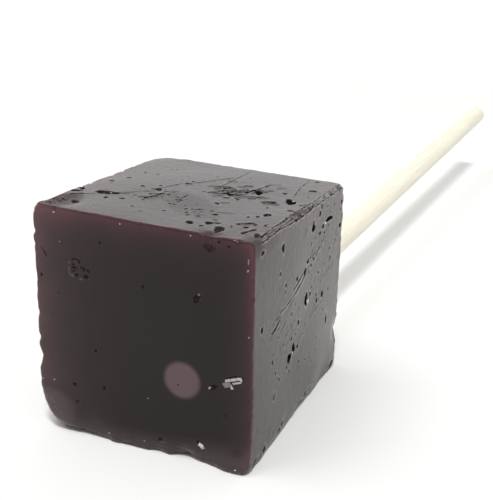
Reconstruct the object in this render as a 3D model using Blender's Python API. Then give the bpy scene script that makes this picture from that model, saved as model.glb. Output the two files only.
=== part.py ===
"""Cube lollipop: a cast cube of dark hard candy that lies on one of its sides, on a round wooden stick.

Metres, +Z up. The origin is the middle of the face that the candy rests on. The smooth moulded front
face looks along -Y, and the stick leaves the poured back face and runs away along +Y.
"""
import math

import bmesh
import bpy
from mathutils import Matrix, Vector, noise

MM = 0.001

# The cast block, and the stick in it
CANDY_WIDTH = 25.0 * MM
CANDY_DEPTH = 27.5 * MM
CANDY_HEIGHT = 25.0 * MM
STICK_DIAMETER = 4.0 * MM
STICK_LENGTH = 150.0 * MM
STICK_CHAMFER = 0.3 * MM
STICK_START = Vector((3.9, -12.3, 8.45)) * MM   # the stick's inner end, a thin wall behind the front face
STICK_YAW = math.radians(-2.6)                  # the stick leans a little to the right
STICK_PITCH = math.radians(2.15)                # and rises a little from the table
STICK_SIDES = 28
PART_GAP = 0.3 * MM                             # room between the candy and the stick in it

# The block's mesh
CELLS_ALONG_EDGE = 22
CROWDING = 0.85                                 # how far the cells draw together towards the edges

# Rounding of the edges, and of the corners that are worn or melted further
# A corner is named by its side in x, y and z
EDGE_ROUND = 0.4 * MM
CORNER_REACH = 0.9                              # how far a corner's own radius is felt, in radii
CORNER_ROUND = {
    (-1, -1, -1): 3.4 * MM,
    (-1, -1, 1): 1.1 * MM,
    (1, -1, 1): 0.8 * MM,
    (1, -1, -1): 0.5 * MM,
    (1, 1, 1): 1.2 * MM,
    (1, 1, -1): 0.8 * MM,
    (-1, 1, 1): 2.0 * MM,
    (-1, 1, -1): 1.4 * MM,
}

# How far each corner of the casting lies from a true box
CORNER_SHIFT = {
    (-1, -1, -1): Vector((-0.25, -0.9, 0.0)) * MM,
    (1, -1, -1): Vector((-0.3, 0.1, 0.0)) * MM,
    (-1, -1, 1): Vector((-0.1, 0.2, 0.7)) * MM,
    (1, -1, 1): Vector((-0.15, -0.1, -0.15)) * MM,
    (-1, 1, -1): Vector((0.0, 0.1, 0.0)) * MM,
    (1, 1, -1): Vector((0.0, 0.35, 0.0)) * MM,
    (-1, 1, 1): Vector((0.1, 0.2, 0.35)) * MM,
    (1, 1, 1): Vector((0.25, -0.1, -0.7)) * MM,
}

# Soft unevenness of the faces
SWELL = 0.12 * MM
SWELL_LENGTH = 9.0 * MM
SWELL_SEED = 12
DISH = 0.4 * MM                                 # the poured face sinks this much in the middle
DISH_RIPPLE = 0.15 * MM

# Broken and melted places along the edges: (middle, reach, push), in millimetres. A push fades out
# at twice its reach.
EDGE_MARKS = (
    ((10.7, -13.6, 0.3), 2.1, (0.0, -0.85, 0.0)),
    ((4.9, -13.8, 0.0), 1.1, (0.0, 0.5, 0.3)),
    ((-7.0, -14.2, 0.0), 1.5, (0.0, 0.3, 0.25)),
    ((1.8, -14.0, 0.0), 1.2, (0.0, 0.15, 0.12)),
    ((-12.5, -14.0, 8.6), 0.8, (0.35, 0.1, 0.0)),
    ((-12.6, -13.6, 22.3), 3.0, (-0.2, -0.1, 0.0)),
    ((12.3, 0.5, 0.0), 4.5, (-0.15, 0.0, 0.3)),
    ((12.4, 8.5, 0.0), 2.5, (-0.15, 0.0, 0.2)),
    ((12.5, 13.5, 5.3), 1.2, (-0.3, -0.2, 0.0)),
    ((7.7, -13.8, 24.6), 0.9, (0.0, 0.25, -0.3)),
    ((12.5, 0.6, 24.5), 1.1, (-0.3, 0.0, -0.2)),
    ((-10.8, -10.8, 25.4), 1.6, (0.05, 0.0, -0.25)),
)

# Bubbles that broke open, as (face, across, up or back, length, width, depth, turn), in millimetres
# and degrees. Across runs along the face to the right, or to the back on the right-hand face.
PITS = (
    ("front", -7.4, 19.6, 1.3, 0.9, 0.25, 20),
    ("front", -6.2, 18.9, 1.2, 0.7, 0.20, -35),
    ("front", 8.1, 9.2, 1.0, 0.7, 0.35, 40),
    ("front", 6.6, 2.1, 0.9, 0.7, 0.30, -50),
    ("top", -8.5, -6.0, 2.6, 0.8, 0.40, 30),
    ("top", 7.7, -11.4, 1.0, 1.0, 0.45, 0),
    ("top", 10.0, 1.8, 1.4, 0.9, 0.45, 10),
    ("right", 7.5, 21.4, 1.6, 0.9, 0.45, 60),
    ("right", 1.4, 13.6, 1.2, 0.8, 0.40, 70),
    ("right", -1.9, 9.1, 1.2, 0.6, 0.40, 75),
    ("right", -3.1, 8.2, 1.1, 0.6, 0.35, 75),
    ("left", -3.0, 15.5, 1.2, 0.8, 0.40, 10),
    ("left", 6.5, 8.0, 1.0, 0.9, 0.40, 0),
    ("back", -6.0, 17.0, 1.6, 1.4, 0.45, 0),
    ("back", -2.5, 6.5, 1.1, 1.0, 0.40, 0),
)
PIT_SEGMENTS = 10
PIT_RINGS = 6

# Each face's level, and its across and up directions
FACES = {
    "front": (Vector((0.0, -CANDY_DEPTH / 2, 0.0)), Vector((1, 0, 0)), Vector((0, 0, 1))),
    "back": (Vector((0.0, CANDY_DEPTH / 2, 0.0)), Vector((-1, 0, 0)), Vector((0, 0, 1))),
    "right": (Vector((CANDY_WIDTH / 2, 0.0, 0.0)), Vector((0, 1, 0)), Vector((0, 0, 1))),
    "left": (Vector((-CANDY_WIDTH / 2, 0.0, 0.0)), Vector((0, -1, 0)), Vector((0, 0, 1))),
    "top": (Vector((0.0, 0.0, CANDY_HEIGHT)), Vector((1, 0, 0)), Vector((0, 1, 0))),
}

HALF = Vector((CANDY_WIDTH, CANDY_DEPTH, CANDY_HEIGHT)) / 2


def clear_scene():
    for item in list(bpy.data.objects):
        bpy.data.objects.remove(item)


def finish_material(name, colour, roughness, coat=0.0):
    """A plain material with the sub-part's colour and gloss."""
    material = bpy.data.materials.new(name)
    material.use_nodes = True
    shader = material.node_tree.nodes["Principled BSDF"]
    shader.inputs["Base Color"].default_value = (*colour, 1.0)
    shader.inputs["Roughness"].default_value = roughness
    shader.inputs["Metallic"].default_value = 0.0
    shader.inputs["Coat Weight"].default_value = coat
    return material


def add_object(name, mesh):
    item = bpy.data.objects.new(name, mesh)
    bpy.context.scene.collection.objects.link(item)
    return item


def make_cutter(item):
    item.hide_render = True
    item.display_type = "WIRE"
    return item


def crowd(t):
    """Draws an even run from -1 to 1 together towards its ends."""
    return (1 - CROWDING) * t + CROWDING * math.sin(math.pi / 2 * t)


def corner_place(corner):
    return Vector([side * half for side, half in zip(corner, HALF)])


def rounding_at(point):
    """The radius of the edges near a point of the box, which grows at the worn corners."""
    radius = EDGE_ROUND
    for corner, corner_radius in CORNER_ROUND.items():
        distance = (point - corner_place(corner)).length / (CORNER_REACH * corner_radius)
        radius += (corner_radius - EDGE_ROUND) * math.exp(-distance ** 2)
    return radius


def soften(point):
    """Moves a point of the sharp box to the rounded one."""
    radius = rounding_at(point)
    core = Vector([max(-half + radius, min(half - radius, c)) for c, half in zip(point, HALF)])
    return core + (point - core).normalized() * radius


def casting_shift(place):
    """The corners' shifts, blended over the block. place runs from -1 to 1 each way."""
    total = Vector()
    for corner, shift in CORNER_SHIFT.items():
        share = 1.0
        for side, c in zip(corner, place):
            share *= (1 + side * c) / 2
        total += shift * share
    return total


def poured_dish(place):
    """How far the poured back face sinks, with the ripple of the set syrup."""
    middle = (1 - place.x ** 2) * (1 - place.z ** 2)
    ripple = noise.noise(Vector((place.x, 7.0, place.z)) * 2.5)
    return middle * (DISH + DISH_RIPPLE * ripple) * max(0.0, place.y) ** 8


def block_point(place):
    """The candy's surface for a place on the unit cube's surface, from -1 to 1 each way."""
    box_point = Vector([c * half for c, half in zip(place, HALF)])
    point = soften(box_point) + Vector((0.0, 0.0, HALF.z)) + casting_shift(place)
    point.y -= poured_dish(place)
    sides = 1 - max(0.0, -place.z) ** 6
    swell = noise.noise_vector(point / SWELL_LENGTH) * SWELL * sides
    point += Vector((swell.x, swell.y, swell.z * max(0.0, place.z)))
    for middle, reach, push in EDGE_MARKS:
        distance = (point - Vector(middle) * MM).length / (2 * reach * MM)
        point += Vector(push) * MM * (1 - min(1.0, distance) ** 2) ** 3
    point.z = max(0.0, point.z)
    return point


def build_block():
    """The cast block: a subdivided cube whose points are moved to the worn casting's surface."""
    noise.seed_set(SWELL_SEED)
    mesh = bpy.data.meshes.new("candy_cube")
    block = bmesh.new()
    bmesh.ops.create_cube(block, size=2.0)
    bmesh.ops.subdivide_edges(block, edges=block.edges, cuts=CELLS_ALONG_EDGE - 1, use_grid_fill=True)
    for vertex in block.verts:
        vertex.co = block_point(Vector([crowd(c) for c in vertex.co]))
    bmesh.ops.triangulate(block, faces=block.faces)
    bmesh.ops.recalc_face_normals(block, faces=block.faces)
    block.to_mesh(mesh)
    block.free()
    return add_object("candy_cube", mesh)


def pit_frame(face, across, up, turn):
    """The place and directions of a pit on one face: its length, its width and its depth."""
    level, right, rise = FACES[face]
    outward = right.cross(rise)
    place = level + (right * across + rise * up) * MM
    angle = math.radians(turn)
    length_way = right * math.cos(angle) + rise * math.sin(angle)
    width_way = outward.cross(length_way)
    return place, length_way, width_way, outward


def surface_level(block, place, outward):
    """Where the block's surface lies under a place on the true box's face."""
    start = place + outward * 5 * MM
    hit, point, _, _ = block.ray_cast(start, -outward)
    if not hit:
        raise ValueError("a pit lies off the block")
    return point


def build_pits(block):
    """Flat ellipsoids on the faces, whose lower caps leave the broken bubbles."""
    mesh = bpy.data.meshes.new("pit_cutter")
    pits = bmesh.new()
    for face, across, up, length, width, depth, turn in PITS:
        place, length_way, width_way, outward = pit_frame(face, across, up, turn)
        point = surface_level(block, place, outward)
        # The ellipsoid's height gives the pit its depth and its mouth about its full size
        height = 2 * depth
        centre = point + outward * (height - depth) * MM * 0.5
        axes = Matrix((length_way * length, width_way * width, outward * height)).transposed() * MM * 0.5
        bmesh.ops.create_uvsphere(
            pits, u_segments=PIT_SEGMENTS, v_segments=PIT_RINGS, radius=1.0,
            matrix=Matrix.Translation(centre) @ axes.to_4x4())
    pits.to_mesh(mesh)
    pits.free()
    return make_cutter(add_object("pit_cutter", mesh))


def round_bar(name, radius, start, finish, chamfer):
    """A round bar from start to finish, with a chamfer at both of its ends."""
    mesh = bpy.data.meshes.new(name)
    bar = bmesh.new()
    length = (finish - start).length
    profile = ((0.0, radius - chamfer), (chamfer, radius), (length - chamfer, radius), (length, radius - chamfer))
    rings = []
    for height, ring_radius in profile:
        ring = bmesh.ops.create_circle(
            bar, cap_ends=False, radius=ring_radius, segments=STICK_SIDES,
            matrix=Matrix.Translation((0, 0, height)))["verts"]
        rings.append(ring)
    for lower, upper in zip(rings, rings[1:]):
        for i in range(STICK_SIDES):
            j = (i + 1) % STICK_SIDES
            bar.faces.new((lower[i], lower[j], upper[j], upper[i]))
    bar.faces.new(reversed(rings[0]))
    bar.faces.new(rings[-1])
    bmesh.ops.recalc_face_normals(bar, faces=bar.faces)
    bar.to_mesh(mesh)
    bar.free()
    item = add_object(name, mesh)
    item.location = start
    item.rotation_mode = "QUATERNION"
    item.rotation_quaternion = (finish - start).to_track_quat("Z", "Y")
    return item


def shade_round(item, crease=40):
    item.data.shade_smooth()
    item.data.set_sharp_from_angle(angle=math.radians(crease))


def cut(item, cutter, name):
    modifier = item.modifiers.new(name, "BOOLEAN")
    modifier.operation = "DIFFERENCE"
    modifier.solver = "EXACT"
    modifier.object = cutter


def stick_way():
    """The direction in which the stick leaves the candy."""
    flat = math.cos(STICK_PITCH)
    return Vector((-math.sin(STICK_YAW) * flat, math.cos(STICK_YAW) * flat, math.sin(STICK_PITCH)))


def build_candy():
    block = build_block()
    block.data.materials.append(finish_material("dark_candy", (0.012, 0.006, 0.008), 0.18))
    bpy.context.view_layer.update()
    cut(block, build_pits(block), "open bubbles")
    way = stick_way()
    bore_start = STICK_START - way * PART_GAP
    bore_end = STICK_START + way * (CANDY_DEPTH + 5 * MM)
    bore = round_bar("bore_cutter", STICK_DIAMETER / 2 + PART_GAP, bore_start, bore_end, STICK_CHAMFER)
    cut(block, make_cutter(bore), "stick bore")
    shade_round(block)
    return block


def build_stick():
    finish = STICK_START + stick_way() * STICK_LENGTH
    stick = round_bar("stick", STICK_DIAMETER / 2, STICK_START, finish, STICK_CHAMFER)
    stick.data.materials.append(finish_material("pale_wood", (0.80, 0.68, 0.47), 0.6))
    shade_round(stick)
    return stick


def main():
    clear_scene()
    build_candy()
    build_stick()


main()
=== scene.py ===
"""Looks of the cube lollipop: dark cast candy with broken bubbles, scratches and worn edges, on its stick.

Laid out as a Blender add-on and run as a script. Settings and objects are in metres. The shaping functions
work in millimetres and turn their points into metres at the end.
"""

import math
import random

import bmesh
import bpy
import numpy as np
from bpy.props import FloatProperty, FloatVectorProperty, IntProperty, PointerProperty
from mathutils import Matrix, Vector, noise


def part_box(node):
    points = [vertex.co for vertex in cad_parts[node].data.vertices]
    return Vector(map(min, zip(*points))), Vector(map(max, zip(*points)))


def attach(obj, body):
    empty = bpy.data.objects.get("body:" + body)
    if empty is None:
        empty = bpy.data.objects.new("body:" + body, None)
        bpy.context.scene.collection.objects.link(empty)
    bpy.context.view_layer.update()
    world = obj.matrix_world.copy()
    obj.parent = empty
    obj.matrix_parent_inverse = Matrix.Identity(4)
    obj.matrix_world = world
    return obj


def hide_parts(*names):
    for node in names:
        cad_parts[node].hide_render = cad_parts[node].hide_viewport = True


bl_info = {
    "name": "Cube Lollipop",
    "version": (1, 0, 0),
    "blender": (4, 5, 0),
    "location": "View3D > Sidebar > Lollipop",
    "description": "Finishes a cast cube lollipop: its candy, its stick, its loose flakes and its studio",
    "category": "Add Mesh",
}

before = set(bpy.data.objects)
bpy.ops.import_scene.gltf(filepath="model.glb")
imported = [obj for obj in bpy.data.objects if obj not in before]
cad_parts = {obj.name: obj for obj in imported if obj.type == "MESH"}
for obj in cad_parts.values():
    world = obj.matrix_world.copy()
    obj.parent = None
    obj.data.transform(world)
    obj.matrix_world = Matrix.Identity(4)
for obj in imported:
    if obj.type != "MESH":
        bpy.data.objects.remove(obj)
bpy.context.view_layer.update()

MM = 0.001

# The casting, in millimetres: a box with soft edges whose corners lie a little off, with its front at -Y
CANDY_SIZE = np.array((25.0, 27.5, 25.0))
HALF = CANDY_SIZE / 2
CENTRE = np.array((0.0, 0.0, HALF[2]))
EDGE_ROUND = 0.4
LEAST_ROUND = 0.12
EDGE_ROUNDS = {
    ("front", "top"): 0.2, ("right", "top"): 0.18, ("front", "right"): 0.3, ("right", "bottom"): 0.65,
    ("front", "bottom"): 0.5,
}
CORNER_REACH = 0.9
CORNER_ROUND = {
    (-1, -1, -1): 3.4, (-1, -1, 1): 1.0, (1, -1, 1): 0.75, (1, -1, -1): 0.5,
    (1, 1, 1): 1.2, (1, 1, -1): 0.45, (-1, 1, 1): 2.0, (-1, 1, -1): 1.4,
}
CORNER_SHIFT = {
    (-1, -1, -1): (-0.25, -0.9, 0.0), (1, -1, -1): (-0.3, 0.1, 0.0),
    (-1, -1, 1): (-0.1, 0.2, 0.62), (1, -1, 1): (-0.15, -0.1, -0.25),
    (-1, 1, -1): (0.0, 0.1, 0.0), (1, 1, -1): (0.0, 0.35, 0.0),
    (-1, 1, 1): (0.1, 0.2, 0.35), (1, 1, 1): (0.25, -0.1, -0.7),
}

# The faces swell and sink a little, less and less towards the flat underside
SWELL = 0.12
SWELL_LENGTH = 9.0
SWELL_FADE = 6

# The poured back face is dished and rippled
DISH = 0.4
DISH_FADE = 8                                   # how soon the dish ends in front of the back face
DISH_RIPPLE = 0.15
RIPPLES = 2.5                                   # how many to half the block's width
RIPPLE_SLICE = 7.0                              # where the ripple's noise is cut through

# The top right edge is worn to a narrow bevel, wider where it was knocked: how far it reaches down each face,
# where along the edge the knock is, how far the knock reaches, and what it adds
BEVEL = 0.36
BEVEL_TAPER = 0.004                             # how much narrower it gets with each millimetre to the back
BEVEL_START = 1.6                               # how far behind the front it is still narrower
BEVEL_THINNING = 0.45                           # how much narrower it starts, of its width
BEVEL_WAVES = ((0.03, 0.9, 0.0), (0.03, 2.3, 1.0))      # (height, turn in each millimetre, start)
KNOCK_PLACE = -1.2
KNOCK_REACH = 2.8
KNOCK = 0.15

# How far fine raggedness moves each edge, by the two faces that meet there
RAGGED = {
    ("front", "left"): 0.09, ("front", "bottom"): 0.20, ("right", "bottom"): 0.14, ("left", "bottom"): 0.15,
    ("back", "bottom"): 0.12, ("right", "back"): 0.16, ("left", "back"): 0.10, ("left", "top"): 0.08,
    ("back", "top"): 0.08, ("front", "top"): 0.05, ("right", "top"): 0.02, ("front", "right"): 0.03,
}
RAGGED_REACH = 0.7
RAGGED_LENGTH = 1.0
LEAST_RAGGED = 0.004
NOISE_SEED = 12                                 # of the swell and the raggedness

# Broken and melted places along the edges: (middle, reach, push). A push fades out at twice its reach.
EDGE_MARKS = (
    ((10.7, -13.6, 0.3), 2.1, (0.0, -0.85, 0.0)),
    ((4.9, -13.8, 0.0), 1.1, (0.0, 0.5, 0.3)),
    ((-6.6, -14.2, 0.0), 2.4, (0.0, 0.35, 0.35)),
    ((1.8, -14.0, 0.0), 1.2, (0.0, 0.15, 0.12)),
    ((-12.5, -14.0, 8.6), 0.8, (0.35, 0.1, 0.0)),
    ((-12.6, -13.6, 22.3), 3.0, (-0.2, -0.1, 0.0)),
    ((12.3, 0.5, 0.0), 4.5, (-0.15, 0.0, 0.3)),
    ((12.4, 8.5, 0.0), 2.5, (-0.15, 0.0, 0.2)),
    ((12.5, 13.5, 5.3), 1.2, (-0.3, -0.2, 0.0)),
    ((7.7, -13.8, 24.6), 0.9, (0.0, 0.25, -0.3)),
    ((-10.8, -10.8, 25.4), 1.6, (0.05, 0.0, -0.25)),
)

# The candy's mesh: cells along an edge, how far they draw together at the edges, how finely a cell under
# a mark can be split, and how far a cell under a mark or a nick may reach from its middle
CELLS = 44
CROWDING = 0.8
FINEST = 8
LATTICE = CELLS * FINEST
CELL_SHARE = 0.5                                # of a mark's width
CELL_REACHES = (0.09, 0.14)                     # the least and the most
NICK_CELL = 0.14
FORM_SLACK = 0.3                                # how far the finished form may be off its solid

# Each face's axis and side. Its own two directions are the other two axes, in order.
FACES = {"front": (1, -1), "top": (2, 1), "right": (0, 1), "left": (0, -1), "back": (1, 1), "bottom": (2, -1)}

# Bubbles that broke open: (place on the face, length, width, turn in degrees), and for the shallower ones
# how brown their floors are
BUBBLES = {
    "top": (
        ((-8.4, -6.0), 2.4, 1.3, 14, 0.7), ((-9.5, -10.5), 1.4, 0.7, -53, 0.8),
        ((-5.8, -7.1), 0.5, 0.3, 0, 0.4), ((-11.8, -7.1), 1.5, 0.6, 24, 0.6), ((-12.1, -5.4), 0.9, 0.4, -54),
        ((-11.6, -5.9), 0.7, 0.5, -48), ((-7.5, -7.7), 0.5, 0.4, -34), ((-10.6, -1.4), 0.6, 0.4, 0, 0.5),
        ((-9.7, 0.9), 0.5, 0.4, 10, 0.5), ((-4.3, -1.8), 1.1, 0.6, -59, 0.3), ((-6.5, -1.5), 0.5, 0.4, 20),
        ((4.2, -11.0), 1.0, 0.6, -62, 0.5), ((6.0, -10.3), 1.0, 0.6, -64, 0.5),
        ((6.7, -9.9), 0.7, 0.35, 26, 0.4), ((5.7, -11.5), 0.5, 0.35, -64, 0.6),
        ((7.7, -11.65), 1.9, 0.85, -65, 0.85), ((5.2, -7.2), 0.5, 0.45, 0), ((6.1, -9.0), 0.4, 0.3, 0),
        ((8.4, -10.2), 0.4, 0.2, -66), ((8.5, -6.3), 0.5, 0.25, -67), ((9.3, -5.7), 0.5, 0.3, -70),
        ((9.9, -4.6), 1.1, 0.65, -71), ((9.7, -9.7), 0.6, 0.4, 30, 0.4), ((10.2, -8.5), 0.5, 0.3, -72, 0.3),
        ((11.2, -8.1), 0.6, 0.4, -71, 0.4), ((11.6, -11.5), 1.2, 0.6, -69, 1.0),
        ((10.1, 1.8), 2.0, 1.05, -72, 0.2), ((11.3, -1.6), 0.7, 0.4, 0), ((10.7, 7.6), 0.8, 0.6, 0, 0.4),
        ((9.7, 12.1), 0.5, 0.4, 0), ((8.3, 4.8), 0.6, 0.35, 0), ((3.2, 0.8), 1.2, 0.6, -25),
        ((3.5, -0.7), 0.7, 0.4, 43), ((5.7, 3.3), 1.3, 0.8, -73), ((3.6, -3.3), 0.8, 0.3, -39),
        ((-2.7, 2.4), 0.8, 0.5, 0, 0.4),
    ),
    "right": (
        ((8.0, 21.35), 2.4, 0.55, 0), ((6.0, 21.0), 0.7, 0.42, 0), ((5.1, 20.4), 0.55, 0.4, 0),
        ((2.7, 21.6), 1.1, 0.55, 0), ((2.6, 22.1), 0.8, 0.45, 75), ((4.7, 22.8), 0.65, 0.45, 90),
        ((5.3, 23.5), 0.6, 0.34, 90), ((7.3, 23.1), 0.3, 0.25, 0), ((12.4, 19.4), 0.7, 0.5, 0),
        ((-6.4, 22.1), 0.95, 0.5, 95, 0.6), ((-11.8, 23.2), 0.6, 0.5, 0, 1.0), ((1.4, 18.2), 0.7, 0.45, 0),
        ((0.6, 17.2), 0.85, 0.6, 90), ((1.35, 13.65), 1.35, 0.95, 80), ((7.0, 12.3), 0.75, 0.65, 90, 0.3),
        ((5.1, 12.2), 0.65, 0.5, 90, 0.5), ((-7.0, 19.5), 0.42, 0.35, 90), ((-5.4, 17.7), 0.42, 0.35, 90),
        ((-5.5, 17.0), 0.3, 0.25, 0), ((-2.0, 17.3), 0.5, 0.4, 90), ((8.9, 8.3), 1.0, 0.5, 90, 0.4),
        ((-0.8, 11.7), 0.6, 0.4, 90), ((-11.4, 15.0), 0.6, 0.5, 90, 0.8), ((-2.9, 10.6), 0.42, 0.38, 90),
        ((-2.1, 9.1), 1.2, 0.85, 95), ((-3.3, 8.4), 1.2, 1.0, 95), ((-0.8, 8.8), 0.45, 0.4, 90),
        ((-5.3, 10.9), 0.3, 0.3, 90), ((-8.4, 10.2), 0.35, 0.3, 0), ((-7.4, 8.5), 0.35, 0.3, 90),
        ((-6.8, 7.7), 0.28, 0.25, 0), ((-3.9, 7.6), 0.42, 0.33, 90), ((-3.0, 6.7), 0.27, 0.25, 0),
        ((12.6, 22.3), 0.5, 0.4, 0), ((12.4, 21.5), 0.4, 0.3, 0), ((9.4, 16.1), 0.7, 0.35, 75, 0.4),
        ((-12.6, 0.6), 1.1, 0.4, 25), ((-10.0, 0.8), 0.8, 0.5, 60), ((-5.7, 0.7), 0.7, 0.4, 30),
        ((-4.8, 1.1), 0.8, 0.35, 60), ((0.4, 0.6), 3.2, 0.6, 2, 0.4), ((2.8, 1.1), 1.2, 0.3, 20, 0.4),
        ((12.2, 0.7), 1.8, 0.5, 14), ((13.4, 3.0), 1.3, 0.35, 90),
    ),
    "front": (
        ((6.4, 18.4), 0.9, 0.55, 60), ((8.2, 9.1), 0.75, 0.45, 20), ((6.45, 2.25), 0.6, 0.35, -60),
        ((-8.1, 6.1), 0.45, 0.33, -30), ((-7.8, 4.1), 0.36, 0.28, 0), ((9.5, 6.1), 0.22, 0.18, 0),
        ((4.2, 8.5), 0.22, 0.18, 0), ((-4.5, 22.5), 0.22, 0.2, 0), ((2.0, 1.7), 0.6, 0.35, 60, 0.5),
        ((7.8, 23.6), 0.6, 0.3, 80, 0.4), ((-11.8, 18.0), 0.5, 0.25, -35), ((-7.4, 18.6), 0.44, 0.27, 17),
        ((-6.3, 18.6), 0.6, 0.3, 16), ((-7.7, 20.3), 0.6, 0.17, 9), ((-7.9, 19.7), 0.5, 0.2, 11),
        ((9.75, 24.1), 0.3, 0.2, 20), ((8.7, 24.4), 0.3, 0.2, 0),
    ),
    "left": (
        ((-3.0, 15.5), 1.2, 0.8, 10), ((6.5, 8.0), 1.0, 0.9, 0), ((-8.2, 19.4), 0.8, 0.5, 35),
        ((3.1, 20.6), 1.7, 0.6, -28), ((9.4, 16.8), 0.7, 0.5, 0), ((-6.1, 6.3), 0.6, 0.6, 0),
    ),
    "back": (
        ((-6.0, 17.0), 1.8, 1.6, 0), ((-2.5, 6.5), 1.2, 1.0, 0), ((8.6, 19.2), 1.0, 0.9, 0),
        ((-9.3, 4.8), 0.8, 0.7, 0), ((-7.9, 18.6), 0.7, 0.6, 0), ((9.8, 5.9), 0.6, 0.6, 0),
    ),
}
BUBBLE_DEPTH = 0.65                             # of its width
DEEPEST_BUBBLE = 0.65
BROWN_SHALLOWNESS = 0.5                         # how much shallower the brownest ones are
BUBBLE_REACH = 0.6                              # of its width, with the bites out of its outline
BUBBLE_BITES = ((2, 0.14), (3, 0.12), (7, 0.07))        # (lobes, height)
BUBBLE_FLATNESS = 0.45                          # the smaller, the flatter its floor and the steeper its sides

# Scratches: (start, end, width)
SCRATCHES = {
    "top": (
        ((-11.4, -8.5), (-10.3, -7.6), 0.5), ((-10.4, -7.7), (-9.2, -6.9), 0.18),
        ((-7.4, -5.6), (-6.0, -5.0), 0.15), ((-3.9, -5.6), (-3.5, -4.7), 0.5),
        ((-3.6, -4.9), (-3.1, -2.6), 0.32), ((10.1, -11.7), (10.8, -9.8), 0.42),
        ((-7.1, -5.5), (-5.0, -2.6), 0.14), ((-5.0, -2.6), (-3.2, 2.4), 0.14),
        ((-2.4, 2.7), (0.7, 8.3), 0.15), ((9.6, 4.1), (9.2, 6.5), 0.15), ((9.2, 6.5), (8.8, 9.1), 0.13),
        ((8.8, 9.1), (8.7, 12.0), 0.15), ((4.5, 2.5), (5.0, 4.7), 0.4), ((5.0, 4.7), (5.5, 7.3), 0.3),
        ((1.0, 2.8), (0.9, 12.9), 0.15), ((3.7, 0.9), (4.8, 2.1), 0.3), ((7.2, 0.0), (8.7, 1.1), 0.2),
        ((7.7, -0.7), (8.4, 0.0), 0.16), ((4.4, -0.4), (5.1, 1.1), 0.28), ((3.7, -2.9), (4.7, -2.2), 0.2),
        ((4.9, -6.3), (6.9, -5.8), 0.14), ((11.4, 0.9), (12.0, 1.9), 0.25), ((3.2, 1.5), (6.2, 4.6), 0.18),
        ((8.7, -9.0), (10.0, -8.6), 0.14),
    ),
    "right": (
        ((6.9, 19.7), (5.9, 19.2), 0.28), ((6.0, 19.25), (4.9, 18.5), 0.34),
        ((5.0, 18.55), (4.2, 18.1), 0.32), ((4.3, 18.15), (3.2, 17.7), 0.25), ((4.3, 18.6), (1.9, 18.3), 0.2),
        ((0.3, 17.45), (-3.1, 16.3), 0.3), ((0.5, 16.75), (-2.8, 15.7), 0.3),
        ((-2.8, 15.8), (-5.6, 15.1), 0.24), ((-6.2, 14.6), (-8.9, 13.5), 0.24),
        ((-6.9, 14.2), (-8.2, 13.5), 0.28), ((-5.8, 15.3), (-7.7, 14.6), 0.22),
        ((7.2, 11.5), (3.1, 10.9), 0.16), ((0.9, 9.8), (-0.7, 8.8), 0.22), ((-2.1, 12.6), (-3.0, 11.6), 0.18),
        ((-0.9, 13.7), (-0.8, 12.3), 0.18), ((-8.0, 2.4), (-8.4, 1.4), 0.14),
        ((-8.5, 2.6), (-8.9, 1.6), 0.12), ((4.6, 15.1), (2.2, 13.2), 0.12), ((3.6, 19.3), (2.6, 18.8), 0.12),
        ((-1.5, 17.7), (-2.6, 17.3), 0.12), ((-3.4, 15.2), (-4.6, 14.7), 0.13),
        ((5.6, 1.4), (2.6, 1.2), 0.14), ((4.4, 1.9), (2.0, 1.6), 0.12),
    ),
    "front": (
        ((-11.7, 21.1), (-11.4, 20.7), 0.16), ((-11.4, 20.7), (-11.0, 20.1), 0.2),
        ((-7.3, 20.4), (-6.9, 19.9), 0.24), ((-6.8, 19.7), (-6.9, 19.3), 0.2),
        ((-6.2, 19.4), (-5.8, 19.1), 0.24), ((-8.0, 18.9), (-7.5, 19.1), 0.18),
        ((-8.1, 19.4), (-7.3, 19.3), 0.18), ((9.3, 10.25), (11.2, 10.95), 0.16),
        ((11.2, 10.9), (11.5, 10.5), 0.14), ((8.5, 10.0), (8.7, 9.6), 0.1),
    ),
    "left": (
        ((7.4, 12.1), (2.2, 15.6), 0.25), ((-9.1, 9.8), (-4.6, 12.9), 0.25), ((5.0, 18.9), (0.6, 21.4), 0.22),
    ),
}
SCRATCH_DEPTH = 0.6                             # of its width
SCRATCH_PINCH = 0.25                            # how much its width comes and goes
SCRATCH_PULSE = 9                               # how fast it does so
SCRATCH_FADE = (5, 0.15)                        # how fast it fades in, and what it starts with

# Brushes that left a few fine scratches side by side: (start, end, how wide the brush is, how many)
BRUSHED = {
    "right": (
        ((3.6, 18.6), (-4.5, 15.2), 1.2, 7), ((-3.0, 16.0), (-9.6, 12.6), 2.0, 14),
        ((9.8, 15.2), (0.8, 10.2), 2.2, 5), ((-1.0, 12.6), (-9.0, 7.4), 2.6, 6),
        ((11.0, 18.0), (7.4, 14.0), 2.4, 4),
    ),
    "top": (((-9.0, -7.4), (-1.0, -1.0), 1.6, 6), ((1.2, 0.6), (8.8, 7.6), 2.6, 8)),
    "left": (((9.0, 18.0), (-6.0, 9.0), 3.0, 12), ((6.0, 9.0), (-8.0, 4.0), 2.5, 8)),
}
BRUSH_WIDTHS = (0.1, 0.15)
BRUSH_LENGTHS = (0.6, 2.2)
BRUSH_STRAY = 0.06

# Short gashes, broken out along bands of the top: (start, end, how wide the band is, how many)
GASHED = {
    "top": (
        ((0.2, 0.6), (6.4, 4.4), 4.6, 34), ((6.6, -0.6), (9.4, 0.8), 0.9, 5),
        ((-5.0, -5.4), (-1.8, -3.0), 1.0, 5), ((8.0, -9.4), (10.6, -7.8), 1.0, 2),
    ),
}
GASH_WIDTHS = (0.2, 0.5)
GASH_LENGTHS = (0.5, 1.8)
GASH_STRAY = 0.12

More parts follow.
